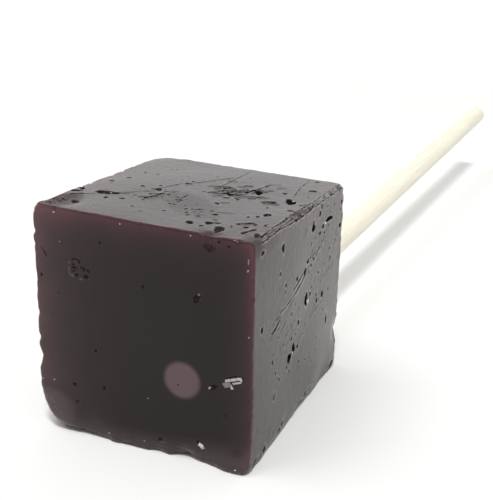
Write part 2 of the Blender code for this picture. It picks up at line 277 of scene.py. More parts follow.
# The bevel's creases, cut as dashes along both of its sides: (start, end, width)
CREASES = {"top": ((11.95, -12.0), (12.3, 13.2), 0.2), "right": ((-12.0, 24.35), (13.2, 24.0), 0.22)}
CREASE_DASHES = 15
CREASE_STARTS = (-0.1, 0.25)                    # where a dash may start and end, in shares of its stretch
CREASE_ENDS = (0.7, 1.1)
CREASE_WIDTHS = (0.6, 1.1)                      # of the crease's width
CREASE_WOBBLE = 0.05
CREASE_BROWN = 0.7

# Ridges pushed up round the marks: (start, end, width)
RIDGES = {
    "front": (
        ((-8.4, 19.9), (-7.9, 19.6), 0.22), ((-8.35, 19.35), (-8.3, 18.7), 0.26),
        ((-8.3, 18.7), (-7.7, 18.3), 0.3), ((-7.05, 18.3), (-6.7, 18.2), 0.26), ((1.8, 1.8), (2.0, 1.4), 0.2),
        ((2.0, 1.4), (2.7, 1.4), 0.18), ((6.25, 2.4), (6.3, 1.9), 0.14),
    ),
    "top": (
        ((-11.9, -12.4), (-11.2, -10.9), 0.3), ((-11.2, -13.2), (-10.2, -11.6), 0.25),
        ((12.15, 3.2), (12.5, 3.4), 0.2), ((-10.6, -11.9), (-9.9, -10.9), 0.25),
        ((-12.0, -10.9), (-11.4, -9.6), 0.25), ((12.15, -0.9), (12.5, -0.7), 0.2),
    ),
    "right": (
        ((0.55, 22.4), (0.7, 21.3), 0.34), ((1.3, 22.2), (1.35, 21.5), 0.26), ((3.4, 24.5), (3.5, 24.1), 0.2),
        ((-0.7, 24.4), (-0.6, 23.9), 0.2), ((-2.5, 8.9), (-2.6, 7.9), 0.24),
    ),
}

# Short pale streaks, of crushed sugar with painted glints, strewn along bands: (start, end, how wide the band
# is, how many)
STREAKED = {
    "right": (
        ((9.5, 22.5), (4.0, 17.5), 3.0, 16), ((-0.5, 17.6), (-9.0, 13.4), 1.8, 14),
        ((3.4, 13.2), (-2.0, 8.4), 2.2, 10), ((12.0, 19.0), (6.0, 12.0), 2.4, 8),
    ),
    "front": (((-11.9, 4.4), (-9.6, 1.8), 0.4, 5),),
}
STREAK_WIDTHS = (0.13, 0.2)
STREAK_LENGTHS = (0.3, 1.0)
STREAK_STRAY = 0.15

# Folds of syrup that set along the bottom of the front: (start, end, how wide the band is, how many)
FOLDS = {
    "front": (
        ((-4.5, 0.9), (0.8, 0.9), 0.8, 8), ((0.6, 1.3), (6.2, 1.1), 1.2, 14),
        ((5.4, 0.7), (11.4, 0.4), 0.8, 12), ((-11.6, 4.2), (-9.4, 1.7), 0.5, 8),
        ((-9.8, 1.9), (-5.0, 0.9), 0.6, 12),
    ),
}
FOLD_WIDTHS = (0.22, 0.4)
FOLD_LENGTHS = (0.8, 2.6)
FOLD_STRAY = 0.06

BAND_GATHERING = 3                              # how strongly marks keep to the middle of their band
RIDGE_HEIGHT = 0.25                             # of its width
FOLD_HEIGHT = 0.11

# Scratches and bubbles pushed up a lip round themselves
LIP_REACHES = (0.05, 0.12)                      # the least and the most
LIP_SHARE = 0.4                                 # its reach, of the mark's width
SCRATCH_LIP = 0.5                               # its height, of its reach
BUBBLE_LIP = 0.12
CRUSHED_AND_HIGHLIT_HEIGHT = 0.03                           # how high a lip is that shows its crushed sugar and painted highlight in full
HOLE_DEPTHS = (0.015, 0.055)                    # where the painted shade inside a hole sets in, and where it is full

# How brown the floors of the marks on a face are at the least; brown lightens the painted shade in them
FACE_BROWN = {"front": 0.9}

# Pinprick bubbles, scattered by a seeded draw: (middle of the patch, its spread, how many)
PINPRICKS = {
    "top": (
        ((-2.8, -2.2), (1.3, 1.3), 8), ((0.4, -4.6), (1.6, 1.6), 14), ((3.0, -7.4), (1.4, 1.6), 18),
        ((3.1, 2.3), (1.3, 1.5), 30), ((0.0, 0.0), (7.5, 8.0), 50), ((-11.2, -11.4), (0.7, 1.4), 22),
        ((12.0, -2.6), (0.12, 1.3), 12),
    ),
    "right": (((0.0, 13.0), (7.0, 6.5), 50), ((6.0, 20.0), (4.0, 3.0), 16), ((-2.6, 24.1), (1.3, 0.12), 12)),
    "front": (((-7.2, 19.3), (0.5, 0.5), 5), ((0.0, 12.0), (7.0, 7.0), 4)),
    "left": (((0.0, 13.0), (7.0, 6.5), 60),),
    "back": (((0.0, 13.0), (7.0, 6.5), 50),),
}
PINPRICK_SIZES = (0.13, 0.32)
PINPRICK_RARITY = 3                             # the larger, the fewer of the wide ones
PINPRICK_STRETCH = (1, 1.7)
PATCH_REACH = 1.5                               # how far a patch goes, of its spread
PATCH_GATHERING = 0.3                           # how strongly its pinpricks keep to its middle

# Small nicks along every edge of the block
NICK_SPACING = 2.3
NICK_SPAN = 0.97                                # how far out along an edge they go
NICK_SIZES = (0.2, 0.55)
NICK_RARITY = 2                                 # the larger, the fewer of the wide ones
NICK_DEPTH = 0.28                               # of its reach
NICK_DEPTHS = (0.4, 1.3)                        # of that depth
NICK_ROUNDING = 1.5                             # the larger, the rounder its rim

# Where the stick leaves the candy, the syrup climbs it in a small collar
COLLAR_HEIGHT = 0.45
COLLAR_REACH = 0.55
COLLAR_START = -0.5                             # how far inside the stick's surface it begins
BORE_SIDES = 72
BORE_SLACK = 0.02

# The stick, and the fibres raised along it: (how fine they are round it, how long they are)
STICK_SIDES = 72
STICK_RINGS = 120
STICK_CHAMFER = 0.3
BLUNTING = 0.4                                  # how far in the chamfer's middle lies, of the chamfer
END_RINGS = (0.6, 0.25)                         # of its radius
FIBRE_LINES = (9, 14)
FIBRE_FLATS = (1.3, 60)
FLATS_START = 5
FLATS_DEPTH = 1.2                               # of the lines' depth

# Noise in the finishes: (how many to a millimetre, how many octaves, how rough)
CLOUDS = {
    "mottle": (0.35, 4.0, 0.6), "silk": (1.8, 3.0, 0.6), "grain": (2.0, 5.0, 0.7), "dust": (9.0, 3.0, 0.6),
    "waves": (0.8, 2.0, 0.5), "film_and_sheen": (0.22, 5.0, 0.65), "wood": (1.0, 5.0, 0.65), "pores": (1.0, 2.0, 0.5),
    "stain": (1.7, 3.0, 0.6), "sugar": (3.0, 4.0, 0.6), "wax": (12.0, 3.0, 0.6),
}

# Round dots in the candy's relief: (how many to a millimetre, how wide the widest is, of their spacing)
PRICKS = {"all_over": (2.2, 0.4), "rubbed": (5.0, 0.45)}
DOT_SHARE = 0.55                                # of the grid's cells, those that stay empty
LEAST_DOT = 0.001                               # an empty cell's, so that it can be divided by

# What fades with the distance from a face or an edge: (how strong it is there, how far it reaches).
# From pink to line: painted light that gets through the candy near its edges; the last two thin the film and
# its painted sheen near the front.
FADES = {
    "pink": (1.0, 3.1), "left": (0.4, 1.0), "right": (0.4, 1.0), "front": (0.7, 1.2), "back": (0.5, 2.0),
    "top": (1.0, 1.27), "bottom": (0.4, 0.9), "line": (1.0, 0.35), "thin_film_and_sheen_top": (0.6, 1.3),
    "thin_film_and_sheen_side": (0.45, 1.9),
}
RIGHT_GLOW = 12.25                              # where the painted glows of light through the right and the top edge are full
TOP_GLOW = CANDY_SIZE[2] + 0.2
GLOW_LINE = (12.22, 0.006)                      # where the front right edge's painted line of light is, and its lean
LINE_HEIGHTS = (12.0, 21.0)

# How far a surface must face a way to count as an end, a side or the top, or the bevel
END_FACING = (0.55, 0.9)
SIDE_FACING = (0.5, 0.9)
BEVEL_FACING = (0.45, 0.9)

# Cloudy patches in the finish: (middle, reach each way, where it fades in and where it is full).
# The melted sheen patch adds film and painted sheen on the front's foot.
PATCHES = {
    "stippled": ((0.0, 0.0), (5.5, 2.4), (1.9, 1.0)),
    "chafed": ((-11.2, -11.2), (2.6, 3.4), (1.7, 0.8)),
    "melted_sheen": ((-11.2, 2.4), (3.2, 2.8), (1.7, 0.8)),
    "smudged": ((-9.8, 23.5), (2.6, 0.9), (1.7, 0.8)),
    "corner": ((12.4, -13.2, 24.6), (1.8, 2.0, 1.8), (1.8, 0.7)),
}
STIPPLE_PLACE = (1.2, -5.0)                     # of the stippled patch, which lies across the top
STIPPLE_WAY = (0.66, 0.75)
KNOCK_COLOUR = 1.2                              # how far the knock's colour reaches, of its reach
WORN_START = (-3.0, -7.0)                       # where along the bevel its front end is worn

# Heights at which the sides' silk sets in and their smooth foot begins, and the depths of the relief
SILK_HEIGHTS = (3.0, 12.0)
SMOOTH_HEIGHTS = (14.0, 6.0)
WAVE_DEPTH = 0.03
RELIEF_DEPTH = 0.035

# The stick's end behind the front: how far off the stick's line it shows, and how blurred its outline is
SPOT_SHIFT = (0.75, 0.65)
SPOT_BLUR = 0.35

# The dull film and its painted sheen: the way it thickens across the sides and where it does, the heights
# at which the front's melted foot sets in, where the foot dips to the right, and where the right of the front
# takes on more
FILM_AND_SHEEN_WAY = (0.6, -0.4)
FILM_AND_SHEEN_LIMITS = (-17.0, -11.5)
MELT_HEIGHTS = (2.8, 0.4)
MELT_DIP = (2.0, 9.0)
FRONT_FILM_AND_SHEEN = (8.5, 11.5)

# The wood: how fine its grain and its pores are across and along it, how much of their noise shows, how
# deep they are, and how far from the candy its stain sets in and is full
GRAIN_STRETCH = (3.2, 0.10)
PORE_STRETCH = (9, 0.55)
GRAIN_LIMITS = (0.35, 0.72)
PORE_LIMITS = (0.62, 0.74)
GRAIN_DEPTH = 0.05
STAIN_REACHES = (5.0, 0.3)

# The flakes' sugar: where the pale clouds in it set in and are full, and how deep its relief is
SUGAR_LIMITS = (0.3, 0.6)
SUGAR_DEPTH = 0.03

# How far out the floor's own light sets in, and where it is full
FAR_FLOOR = (200.0, 800.0)


# ---------------------------------------------------------------- settings

def colour_setting(name, description, default):
    """A colour that can be changed in the panel."""
    return FloatVectorProperty(
        name=name, description=description, default=default, subtype="COLOR", size=3, min=0.0, max=1.0)


class LollipopCandySettings(bpy.types.PropertyGroup):
    """The candy's colours, its gloss and its draw of marks."""

    body_colour: colour_setting("Body", "Colour deep in the candy", (0.0045, 0.0006, 0.0012))
    rim_colour: colour_setting("Rim", "Colour where light gets through on the left", (0.050, 0.029, 0.0315))
    # Painted light that gets through the candy near the other edges, redder than on the left
    edge_through_light_colour: colour_setting("Edge", "Redder colour close to the other edges", (0.053, 0.0165, 0.021))
    # Painted line of light down the front right edge
    line_through_light_colour: colour_setting("Corner", "Reddest colour, on the front right edge", (0.085, 0.014, 0.024))
    # Dull film, with painted sheen on the top and the sides
    film_and_sheen_colour: colour_setting("Film", "Dull film on the handled faces", (0.056, 0.052, 0.048))
    # Painted shade inside broken bubbles: near black, on a floor with almost no gloss
    wound_shade_colour: colour_setting("Wound", "Colour inside broken bubbles", (0.004, 0.0025, 0.0022))
    bruise_colour: colour_setting("Bruise", "Colour of worn edges and shallow wounds", (0.038, 0.022, 0.024))
    bevel_colour: colour_setting("Bevel", "Colour of the worn bevel", (0.095, 0.087, 0.082))
    # Crushed sugar on the lips of the marks, with painted highlight
    crushed_and_highlight_colour: colour_setting("Crushed", "Crushed sugar on the lips of the marks", (0.24, 0.23, 0.225))
    spot_colour: colour_setting("Spot", "The stick's end seen through the front", (0.100, 0.062, 0.072))
    spot_diameter: FloatProperty(
        name="Spot", description="How wide the stick's end shows", default=3.95 * MM, unit="LENGTH", min=0.0)
    gloss: FloatProperty(
        name="Roughness", description="Roughness of the smooth front", default=0.12, subtype="FACTOR",
        min=0.0, max=1.0)
    seed: IntProperty(name="Seed", description="Start of the draws of the marks", default=7, min=0)


class LollipopStickSettings(bpy.types.PropertyGroup):
    """The stick's colours and the depth of its fibres."""

    wood_colour: colour_setting("Wood", "Main colour of the birch", (0.88, 0.85, 0.73))
    grain_colour: colour_setting("Grain", "Darker lines of the grain", (0.73, 0.65, 0.49))
    stain_colour: colour_setting("Stain", "Tint where the syrup soaked in", (0.42, 0.20, 0.17))
    fibre_depth: FloatProperty(
        name="Fibre", description="Depth of the ridges along the stick", default=0.045 * MM, unit="LENGTH",
        min=0.0)


class LollipopFlakeAndGlintSettings(bpy.types.PropertyGroup):
    """The colours of the flakes and of the shards painted as glints, and the draw of their shapes."""

    # Palest sugar flakes, and pale shards that are painted glints in holes and on edges
    flake_and_glint_colour: colour_setting("Flake", "Colour of the palest sugar flakes", (0.80, 0.76, 0.75))
    clear_colour: colour_setting("Clear", "Colour of the darkest, clearest flakes", (0.04, 0.025, 0.028))
    seed: IntProperty(name="Seed", description="Start of the draw of the flakes' shapes", default=3, min=0)


class LollipopStudioSettings(bpy.types.PropertyGroup):
    """The floor, the lens and the lights."""

    floor_colour: colour_setting("Floor", "Plain pale floor", (0.83, 0.83, 0.82))
    floor_radius: FloatProperty(
        name="Floor", description="Radius of the round floor", default=3.0, unit="LENGTH", min=0.5)
    far_light: FloatProperty(
        name="Far floor", description="Light that the far floor adds", default=0.6, min=0.0)
    lens: FloatProperty(name="Lens", description="Focal length of the camera", default=60.28, min=1.0)
    room_light: FloatProperty(
        name="Room", description="Radiance of the room all round", default=0.45, min=0.0)
    back_light: FloatProperty(
        name="Back", description="What the room's far wall adds to it", default=0.70, min=0.0)
    left_power: FloatProperty(
        name="Left light", description="Very soft light from the left", default=7.1, unit="POWER", min=0.0)
    left_size: FloatProperty(
        name="Left size", description="Width of the left light", default=0.9, unit="LENGTH", min=0.01)
    right_power: FloatProperty(
        name="Lamp", description="Crisper light from the front right", default=13.1, unit="POWER", min=0.0)
    right_size: FloatProperty(
        name="Lamp size", description="Width of the lamp", default=0.25, unit="LENGTH", min=0.01)


# ---------------------------------------------------------------- shader building

class Signal:
    """A socket in a finish. Arithmetic on it adds the nodes that work it out."""

    def __init__(self, finish, socket):
        self.finish = finish
        self.socket = socket

    def __add__(self, other):
        return self.finish.work("ADD", self, other)

    def __sub__(self, other):
        return self.finish.work("SUBTRACT", self, other)

    def __rsub__(self, other):
        return self.finish.work("SUBTRACT", other, self)

    def __mul__(self, other):
        return self.finish.work("MULTIPLY", self, other)

    def __truediv__(self, other):
        return self.finish.work("DIVIDE", self, other)

    def __pow__(self, other):
        return self.finish.work("POWER", self, other)

    def __neg__(self):
        return self * -1

    __radd__ = __add__
    __rmul__ = __mul__

    def largest(self, other):
        return self.finish.work("MAXIMUM", self, other)

    def smallest(self, other):
        return self.finish.work("MINIMUM", self, other)

    def exponent(self):
        return self.finish.work("EXPONENT", self)

    def distance(self):
        return self.finish.work("ABSOLUTE", self)

    def rise(self, low, high):
        """0 below low, 1 above high, and a soft step between; low may be the larger."""
        ranged = self.finish.node(
            "ShaderNodeMapRange", {"interpolation_type": "SMOOTHSTEP"},
            {"Value": self, "From Min": low, "From Max": high})
        return Signal(self.finish, ranged.outputs["Result"])


class Finish:
    """A node tree under construction."""

    def __init__(self, tree):
        self.tree = tree
        tree.nodes.clear()

    def node(self, kind, settings=None, sockets=None):
        """Adds a node: its settings first, then its sockets' values and links."""
        made = self.tree.nodes.new(kind)
        for name, value in (settings or {}).items():
            setattr(made, name, value)
        for name, value in (sockets or {}).items():
            self.feed(made.inputs[name], value)
        return made

    def feed(self, socket, value):
        """Links a socket to a signal, or sets its own value."""
        if isinstance(value, Signal):
            self.tree.links.new(value.socket, socket)
        elif socket.type == "VECTOR" and isinstance(value, (int, float)):
            socket.default_value = (value, value, value)
        elif socket.type == "RGBA":
            socket.default_value = (*value, 1.0)
        else:
            socket.default_value = value

    def work(self, operation, *operands):
        """Adds a Math node, or a Vector Math node where an operand is a colour or a vector."""
        flat = all(
            item.socket.type == "VALUE" if isinstance(item, Signal) else isinstance(item, (int, float))
            for item in operands)
        kind = "ShaderNodeMath" if flat else "ShaderNodeVectorMath"
        made = self.node(kind, {"operation": operation}, dict(enumerate(operands)))
        return Signal(self, made.outputs[0])

    def mix(self, share, low, high):
        """Goes from one colour to another."""
        sockets = {0: share, 6: low, 7: high}
        made = self.node("ShaderNodeMix", {"data_type": "RGBA"}, sockets)
        return Signal(self, made.outputs[2])

    def split(self, vector):
        """A vector's three parts."""
        made = self.node("ShaderNodeSeparateXYZ", None, {0: vector})
        return [Signal(self, socket) for socket in made.outputs]

    def join(self, x, y, z):
        """A vector from its three parts."""
        made = self.node("ShaderNodeCombineXYZ", None, {0: x, 1: y, 2: z})
        return Signal(self, made.outputs[0])

    def along(self, vector, way):
        """How far a vector reaches in a direction."""
        made = self.node("ShaderNodeVectorMath", {"operation": "DOT_PRODUCT"}, {0: vector, 1: tuple(way)})
        return Signal(self, made.outputs["Value"])

    def place(self):
        """The place on the piece, in millimetres."""
        made = self.node("ShaderNodeTexCoord")
        return Signal(self, made.outputs["Object"]) * (1 / MM)

    def facing(self):
        """The way the surface faces."""
        made = self.node("ShaderNodeNewGeometry")
        return Signal(self, made.outputs["Normal"])

    def stored(self, name):
        """A value that the mesh holds for each point."""
        made = self.node("ShaderNodeAttribute", {"attribute_name": name})
        return Signal(self, made.outputs["Fac"])

    def clouds(self, place, name):
        """Soft noise from 0 to 1."""
        scale, detail, roughness = CLOUDS[name]
        sockets = {"Vector": place, "Scale": scale, "Detail": detail, "Roughness": roughness}
        made = self.node("ShaderNodeTexNoise", None, sockets)
        return Signal(self, made.outputs["Fac"])

    def dots(self, place, name):
        """Round dots, one in some of the cells of a loose grid, 1 in the middle and 0 outside."""
        scale, radius = PRICKS[name]
        made = self.node("ShaderNodeTexVoronoi", {"feature": "F1"}, {"Vector": place, "Scale": scale})
        drawn = self.split(Signal(self, made.outputs["Color"]))[0]
        reach = drawn.rise(DOT_SHARE, 1.0) * radius + LEAST_DOT
        return (1 - Signal(self, made.outputs["Distance"]) / reach).largest(0)

    def bump(self, height, depth, under=None):
        """A normal from a height between 0 and 1 that stands for a depth in millimetres."""
        sockets = {"Height": height, "Distance": depth * MM}
        if under:
            sockets["Normal"] = under
        made = self.node("ShaderNodeBump", None, sockets)
        return Signal(self, made.outputs["Normal"])

    def surface(self, **sockets):
        """A surface. Names stand for the shader's own, with _ for a space."""
        named = {name.replace("_", " "): value for name, value in sockets.items()}
        return Signal(self, self.node("ShaderNodeBsdfPrincipled", None, named).outputs[0])

    def blend(self, share, first, second):
        """Goes from one surface to another."""
        made = self.node("ShaderNodeMixShader", None, {0: share, 1: first, 2: second})
        return Signal(self, made.outputs[0])

    def show(self, surface):
        """Ends the tree in a surface."""
        self.node("ShaderNodeOutputMaterial", None, {"Surface": surface})


def new_finish(name):
    """A new material and its empty tree."""
    material = bpy.data.materials.new(name)
    material.use_nodes = True
    return material, Finish(material.node_tree)


# ---------------------------------------------------------------- the candy's main form

def crowd(t):
    """Draws an even run from -1 to 1 together towards its ends."""
    return (1 - CROWDING) * t + CROWDING * np.sin(np.pi / 2 * t)


def from_edge(place, faces):
    """How far places on the cube lie from the edge where two faces meet, in millimetres."""
    sides = (FACES[face] for face in faces)
    return np.hypot(*((1 - side * place[:, axis]) * HALF[axis] for axis, side in sides))


def soften(place):
    """Moves places on the cube to the box with soft edges and corners, in millimetres round its middle."""
    points = place * HALF
    radius = np.full(len(points), EDGE_ROUND)
    for faces, edge_radius in EDGE_ROUNDS.items():
        radius += (edge_radius - EDGE_ROUND) * np.exp(-from_edge(place, faces) ** 2)
    for corner, corner_radius in CORNER_ROUND.items():
        distance = np.linalg.norm(points - np.array(corner) * HALF, axis=1) / (CORNER_REACH * corner_radius)
        radius += (corner_radius - EDGE_ROUND) * np.exp(-distance ** 2)
    radius = np.maximum(radius, LEAST_ROUND)
    limit = HALF - radius[:, None]
    core = np.clip(points, -limit, limit)
    away = points - core
    return core + away / np.linalg.norm(away, axis=1, keepdims=True) * radius[:, None]


def knock_at(y):
    """How much wider the bevel is where it was knocked."""
    return KNOCK * np.exp(-((y - KNOCK_PLACE) / KNOCK_REACH) ** 2)


def wear_bevel(points):
    """Cuts the top right edge of the box, given round its middle, down to an uneven bevel."""
    y = points[:, 1]
    reach = BEVEL - BEVEL_TAPER * y + knock_at(y)
    for height, turn, start in BEVEL_WAVES:
        reach += height * np.sin(turn * y + start)
    reach *= 1 - BEVEL_THINNING * np.exp(-((y + HALF[1]) / BEVEL_START) ** 2)
    beyond = points[:, 0] + points[:, 2] - (HALF[0] + HALF[2] - reach)
    return points - np.maximum(0, beyond / 2)[:, None] * np.array((1, 0, 1))


def ragged_edges(place, points):
    """Moves points near the edges by fine noise."""
    amount = np.zeros(len(points))
    for faces, most in RAGGED.items():
        amount = np.maximum(amount, most * np.exp(-(from_edge(place, faces) / RAGGED_REACH) ** 2))
    near = np.flatnonzero(amount > LEAST_RAGGED)
    if len(near):
        shifts = np.array([noise.noise_vector(Vector(point) / RAGGED_LENGTH) for point in points[near]])
        points[near] += amount[near, None] * shifts


def casting_shift(place):
    """The corners' shifts, blended over the block."""
    total = np.zeros_like(place)
    for corner, shift in CORNER_SHIFT.items():
        share = np.prod((1 + np.array(corner) * place) / 2, axis=1)
        total += share[:, None] * np.array(shift)
    return total


def poured_dish(place):
    """How far the poured back face sinks, with the ripple of the set syrup."""
    middle = (1 - place[:, 0] ** 2) * (1 - place[:, 2] ** 2)
    ripple = np.array([noise.noise(Vector((x, RIPPLE_SLICE, z)) * RIPPLES) for x, _, z in place])
    return middle * (DISH + DISH_RIPPLE * ripple) * np.maximum(0, place[:, 1]) ** DISH_FADE


def block_points(place):
    """The smooth casting's surface for places on the unit cube's surface, from -1 to 1 each way."""
    points = wear_bevel(soften(place)) + CENTRE + casting_shift(place)
    points[:, 1] -= poured_dish(place)
    swell = np.array([noise.noise_vector(Vector(p) / SWELL_LENGTH) for p in points]) * SWELL
    swell *= 1 - np.maximum(0, -place[:, 2:]) ** SWELL_FADE
    swell[:, 2] *= np.maximum(0, place[:, 2])
    points += swell
    for middle, reach, push in EDGE_MARKS:
        distance = np.linalg.norm(points - middle, axis=1) / (2 * reach)
        points += (1 - np.minimum(1, distance) ** 2)[:, None] ** 3 * np.array(push)
    ragged_edges(place, points)
    points[:, 2] = np.maximum(0, points[:, 2])
    return points


# ---------------------------------------------------------------- marks on the candy

def from_line(places, start, end):
    """How far places on a face lie from a straight line, and how far along it they are, from 0 to 1."""
    start, along = np.array(start), np.array(end) - np.array(start)
    share = np.clip((places - start) @ along / max(along @ along, 1e-9), 0, 1)
    return np.linalg.norm(places - start - share[:, None] * along, axis=1), share


def lip_reach(width):
    """How far the top of a mark's lip lies outside the mark."""
    return min(max(LIP_SHARE * width, LIP_REACHES[0]), LIP_REACHES[1])


def lip_round(outside, width, steepness):
    """The lip that a mark pushed up round itself, from the distance outside it."""
    reach = lip_reach(width)
    return steepness * reach * np.exp(-((outside - reach) / reach) ** 2) * (outside > 0)


class Mark:
    """Something pressed into a face or pushed up on it."""

    brown = 0.0                                 # how brown its floor is
    crushed_and_highlit_on = ("top", "right", "left", "back")


class Bubble(Mark):
    """A bubble that broke open: steep sides, a flat floor, a bitten outline and a low lip."""

    def __init__(self, place, length, width, turn, brown=0.0, draw=None):
        self.place = np.array(place)
        self.length, self.width = length, width
        self.way = np.array((math.cos(math.radians(turn)), math.sin(math.radians(turn))))
        self.brown = brown
        self.depth = min(BUBBLE_DEPTH * width, DEEPEST_BUBBLE) * (1 - BROWN_SHALLOWNESS * brown)
        self.phases = [draw.uniform(0, 2 * math.pi) for _ in BUBBLE_BITES]

    def reach(self, places):
        half_line = self.way * max(0, self.length - self.width) / 2
        distance, _ = from_line(places, self.place - half_line, self.place + half_line)
        return distance - BUBBLE_REACH * self.width - 2 * lip_reach(self.width)

    def dent(self, places):
        offset = places - self.place
        along = offset @ self.way
        beside = offset @ np.array((-self.way[1], self.way[0]))
        angle = np.arctan2(beside / self.width, along / self.length)
        bite = 1.0
        for (lobes, height), phase in zip(BUBBLE_BITES, self.phases):
            bite = bite + height * np.sin(lobes * angle + phase)
        share = 2 * np.hypot(along / self.length, beside / self.width) / bite
        hollow = self.depth * np.clip(1 - share ** 2, 0, 1) ** BUBBLE_FLATNESS
        return hollow - lip_round((share - 1) * self.width / 2, self.width, BUBBLE_LIP)


class Scratch(Mark):
    """A groove along a line, which fades out at both ends, between two low lips."""

    def __init__(self, start, end, width, draw):
        self.start, self.end, self.width = start, end, width
        self.phase = draw.uniform(0, 2 * math.pi)

    def reach(self, places):
        return from_line(places, self.start, self.end)[0] - self.width / 2 - 2 * lip_reach(self.width)

    def section(self, places):
        """The distance from the middle line, half the width there, and how far the mark has faded in."""
        distance, share = from_line(places, self.start, self.end)
        pulse = np.sin(SCRATCH_PULSE * share + self.phase)
        half_width = self.width / 2 * (1 - SCRATCH_PINCH + SCRATCH_PINCH * pulse)
        rate, least = SCRATCH_FADE
        return distance, half_width, np.minimum(1, rate * np.minimum(share, 1 - share) + least)

    def dent(self, places):
        distance, half_width, ends = self.section(places)
        groove = SCRATCH_DEPTH * self.width * np.clip(1 - (distance / half_width) ** 2, 0, 1)
        return (groove - lip_round(distance - half_width, self.width, SCRATCH_LIP)) * ends


class Crease(Scratch):
    """A dash of the crease along the bevel."""

    brown = CREASE_BROWN


class Ridge(Scratch):
    """A ridge that something pushed up, with the outline of a scratch, pale with crushed sugar and painted
    highlight.
    """

    crushed_and_highlit_on = tuple(FACES)
    height = RIDGE_HEIGHT

    def dent(self, places):
        distance, half_width, ends = self.section(places)
        return -self.height * self.width * np.clip(1 - (distance / half_width) ** 2, 0, 1) * ends


class Fold(Ridge):
    """A low fold in the set syrup, as clear as the rest of it."""

    crushed_and_highlit_on = ()
    height = FOLD_HEIGHT


class Collar(Mark):
    """The syrup that climbed the stick where it leaves the candy."""

    crushed_and_highlit_on = ()

    def __init__(self, place, radius):
        self.place, self.radius = np.array(place), radius
        self.width = COLLAR_REACH

    def gap(self, places):
        """How far places lie outside the stick."""
        return np.linalg.norm(places - self.place, axis=1) - self.radius

    def reach(self, places):
        return np.abs(self.gap(places)) - COLLAR_REACH

    def dent(self, places):
        gap = self.gap(places)
        return -COLLAR_HEIGHT * np.exp(-np.maximum(0, gap) / COLLAR_REACH) * (gap > COLLAR_START)


def strewn(kind, bands, lengths, widths, stray, draw):
    """Marks of one kind strewn along bands: (start, end, how wide the band is, how many)."""
    marks = []
    for start, end, spread, count in bands:
        start, end = np.array(start), np.array(end)
        length = np.linalg.norm(end - start)
        way = (end - start) / length
        beside = np.array((-way[1], way[0]))
        for _ in range(count):
            own_length = min(draw.uniform(*lengths), length)
            begin = start + way * draw.uniform(0, length - own_length)
            begin = begin + beside * draw.gauss(0, spread / BAND_GATHERING)
            stop = begin + way * own_length + beside * own_length * draw.gauss(0, stray)
            marks.append(kind(begin, stop, draw.uniform(*widths), draw))
    return marks


def creased(face, draw):
    """The dashes of the bevel's crease on a face."""
    if face not in CREASES:
        return []
    start, end, width = CREASES[face]
    marks = []
    for dash in range(CREASE_DASHES):
        ends = []
        for share in (dash + draw.uniform(*CREASE_STARTS), dash + draw.uniform(*CREASE_ENDS)):
            place = np.array(start) + (np.array(end) - np.array(start)) * share / CREASE_DASHES
            across, y = (0, place[1]) if face == "top" else (1, place[0])
            place[across] += draw.gauss(0, CREASE_WOBBLE) - knock_at(y)
            ends.append(place)
        marks.append(Crease(*ends, width * draw.uniform(*CREASE_WIDTHS), draw))
    return marks


def scattered(face, draw):
    """The pinprick bubbles of a face."""
    marks = []
    least, most = PINPRICK_SIZES
    for middle, spread, count in PINPRICKS.get(face, ()):
        for _ in range(count):
            place = [
                at + draw.uniform(-1, 1) * reach * PATCH_REACH * draw.random() ** PATCH_GATHERING
                for at, reach in zip(middle, spread)]
            size = least + (most - least) * draw.random() ** PINPRICK_RARITY
            length = size * draw.uniform(*PINPRICK_STRETCH)
            marks.append(Bubble(place, length, size, draw.uniform(0, 180), draw=draw))
    return marks


def face_marks(seed):
    """Every mark, by the face it is on."""
    draw = random.Random(seed)
    marks = {face: [] for face in FACES}
    for face, rows in BUBBLES.items():
        marks[face] += [Bubble(*row, draw=draw) for row in rows]
    for face, rows in SCRATCHES.items():
        marks[face] += [Scratch(*row, draw) for row in rows]
    for face, rows in RIDGES.items():
        marks[face] += [Ridge(*row, draw) for row in rows]
    for face in FACES:
        marks[face] += creased(face, draw) + scattered(face, draw)
        for kind, bands, lengths, widths, stray in (
            (Scratch, BRUSHED, BRUSH_LENGTHS, BRUSH_WIDTHS, BRUSH_STRAY),
            (Scratch, GASHED, GASH_LENGTHS, GASH_WIDTHS, GASH_STRAY),
            (Fold, FOLDS, FOLD_LENGTHS, FOLD_WIDTHS, FOLD_STRAY),
            (Ridge, STREAKED, STREAK_LENGTHS, STREAK_WIDTHS, STREAK_STRAY),
        ):
            marks[face] += strewn(kind, bands.get(face, ()), lengths, widths, stray, draw)
    exit_place = stick_exit()
    marks["back"].append(Collar((exit_place[0], exit_place[2]), stick_shape()[2]))
    return marks


def edge_nicks(seed):
    """Small nicks along the edges: (place on the unit cube, reach, depth)."""
    draw = random.Random(seed)
    least, most = NICK_SIZES
    nicks = []
    for axis in range(3):
        for one in (-1, 1):
            for other in (-1, 1):
                for _ in range(round(CANDY_SIZE[axis] / NICK_SPACING)):
                    place = [one, other]
                    place.insert(axis, draw.uniform(-NICK_SPAN, NICK_SPAN))
                    reach = least + (most - least) * draw.random() ** NICK_RARITY
                    nicks.append((np.array(place), reach, NICK_DEPTH * reach * draw.uniform(*NICK_DEPTHS)))
    return nicks


# ---------------------------------------------------------------- the candy's mesh

def on_cube(face, spots):
    """Lattice spots on a face, as whole numbers in three dimensions."""
    axis, side = FACES[face]
    return np.insert(spots, axis, LATTICE if side > 0 else 0, axis=1)


def placed(corners):
    """Corners of the lattice as points of the smooth casting."""
    return block_points(crowd(2 * corners / LATTICE - 1))


def finest_reach(mark):
    """How far the cells under a mark may reach from their middles."""
    return min(max(CELL_SHARE * mark.width, CELL_REACHES[0]), CELL_REACHES[1])


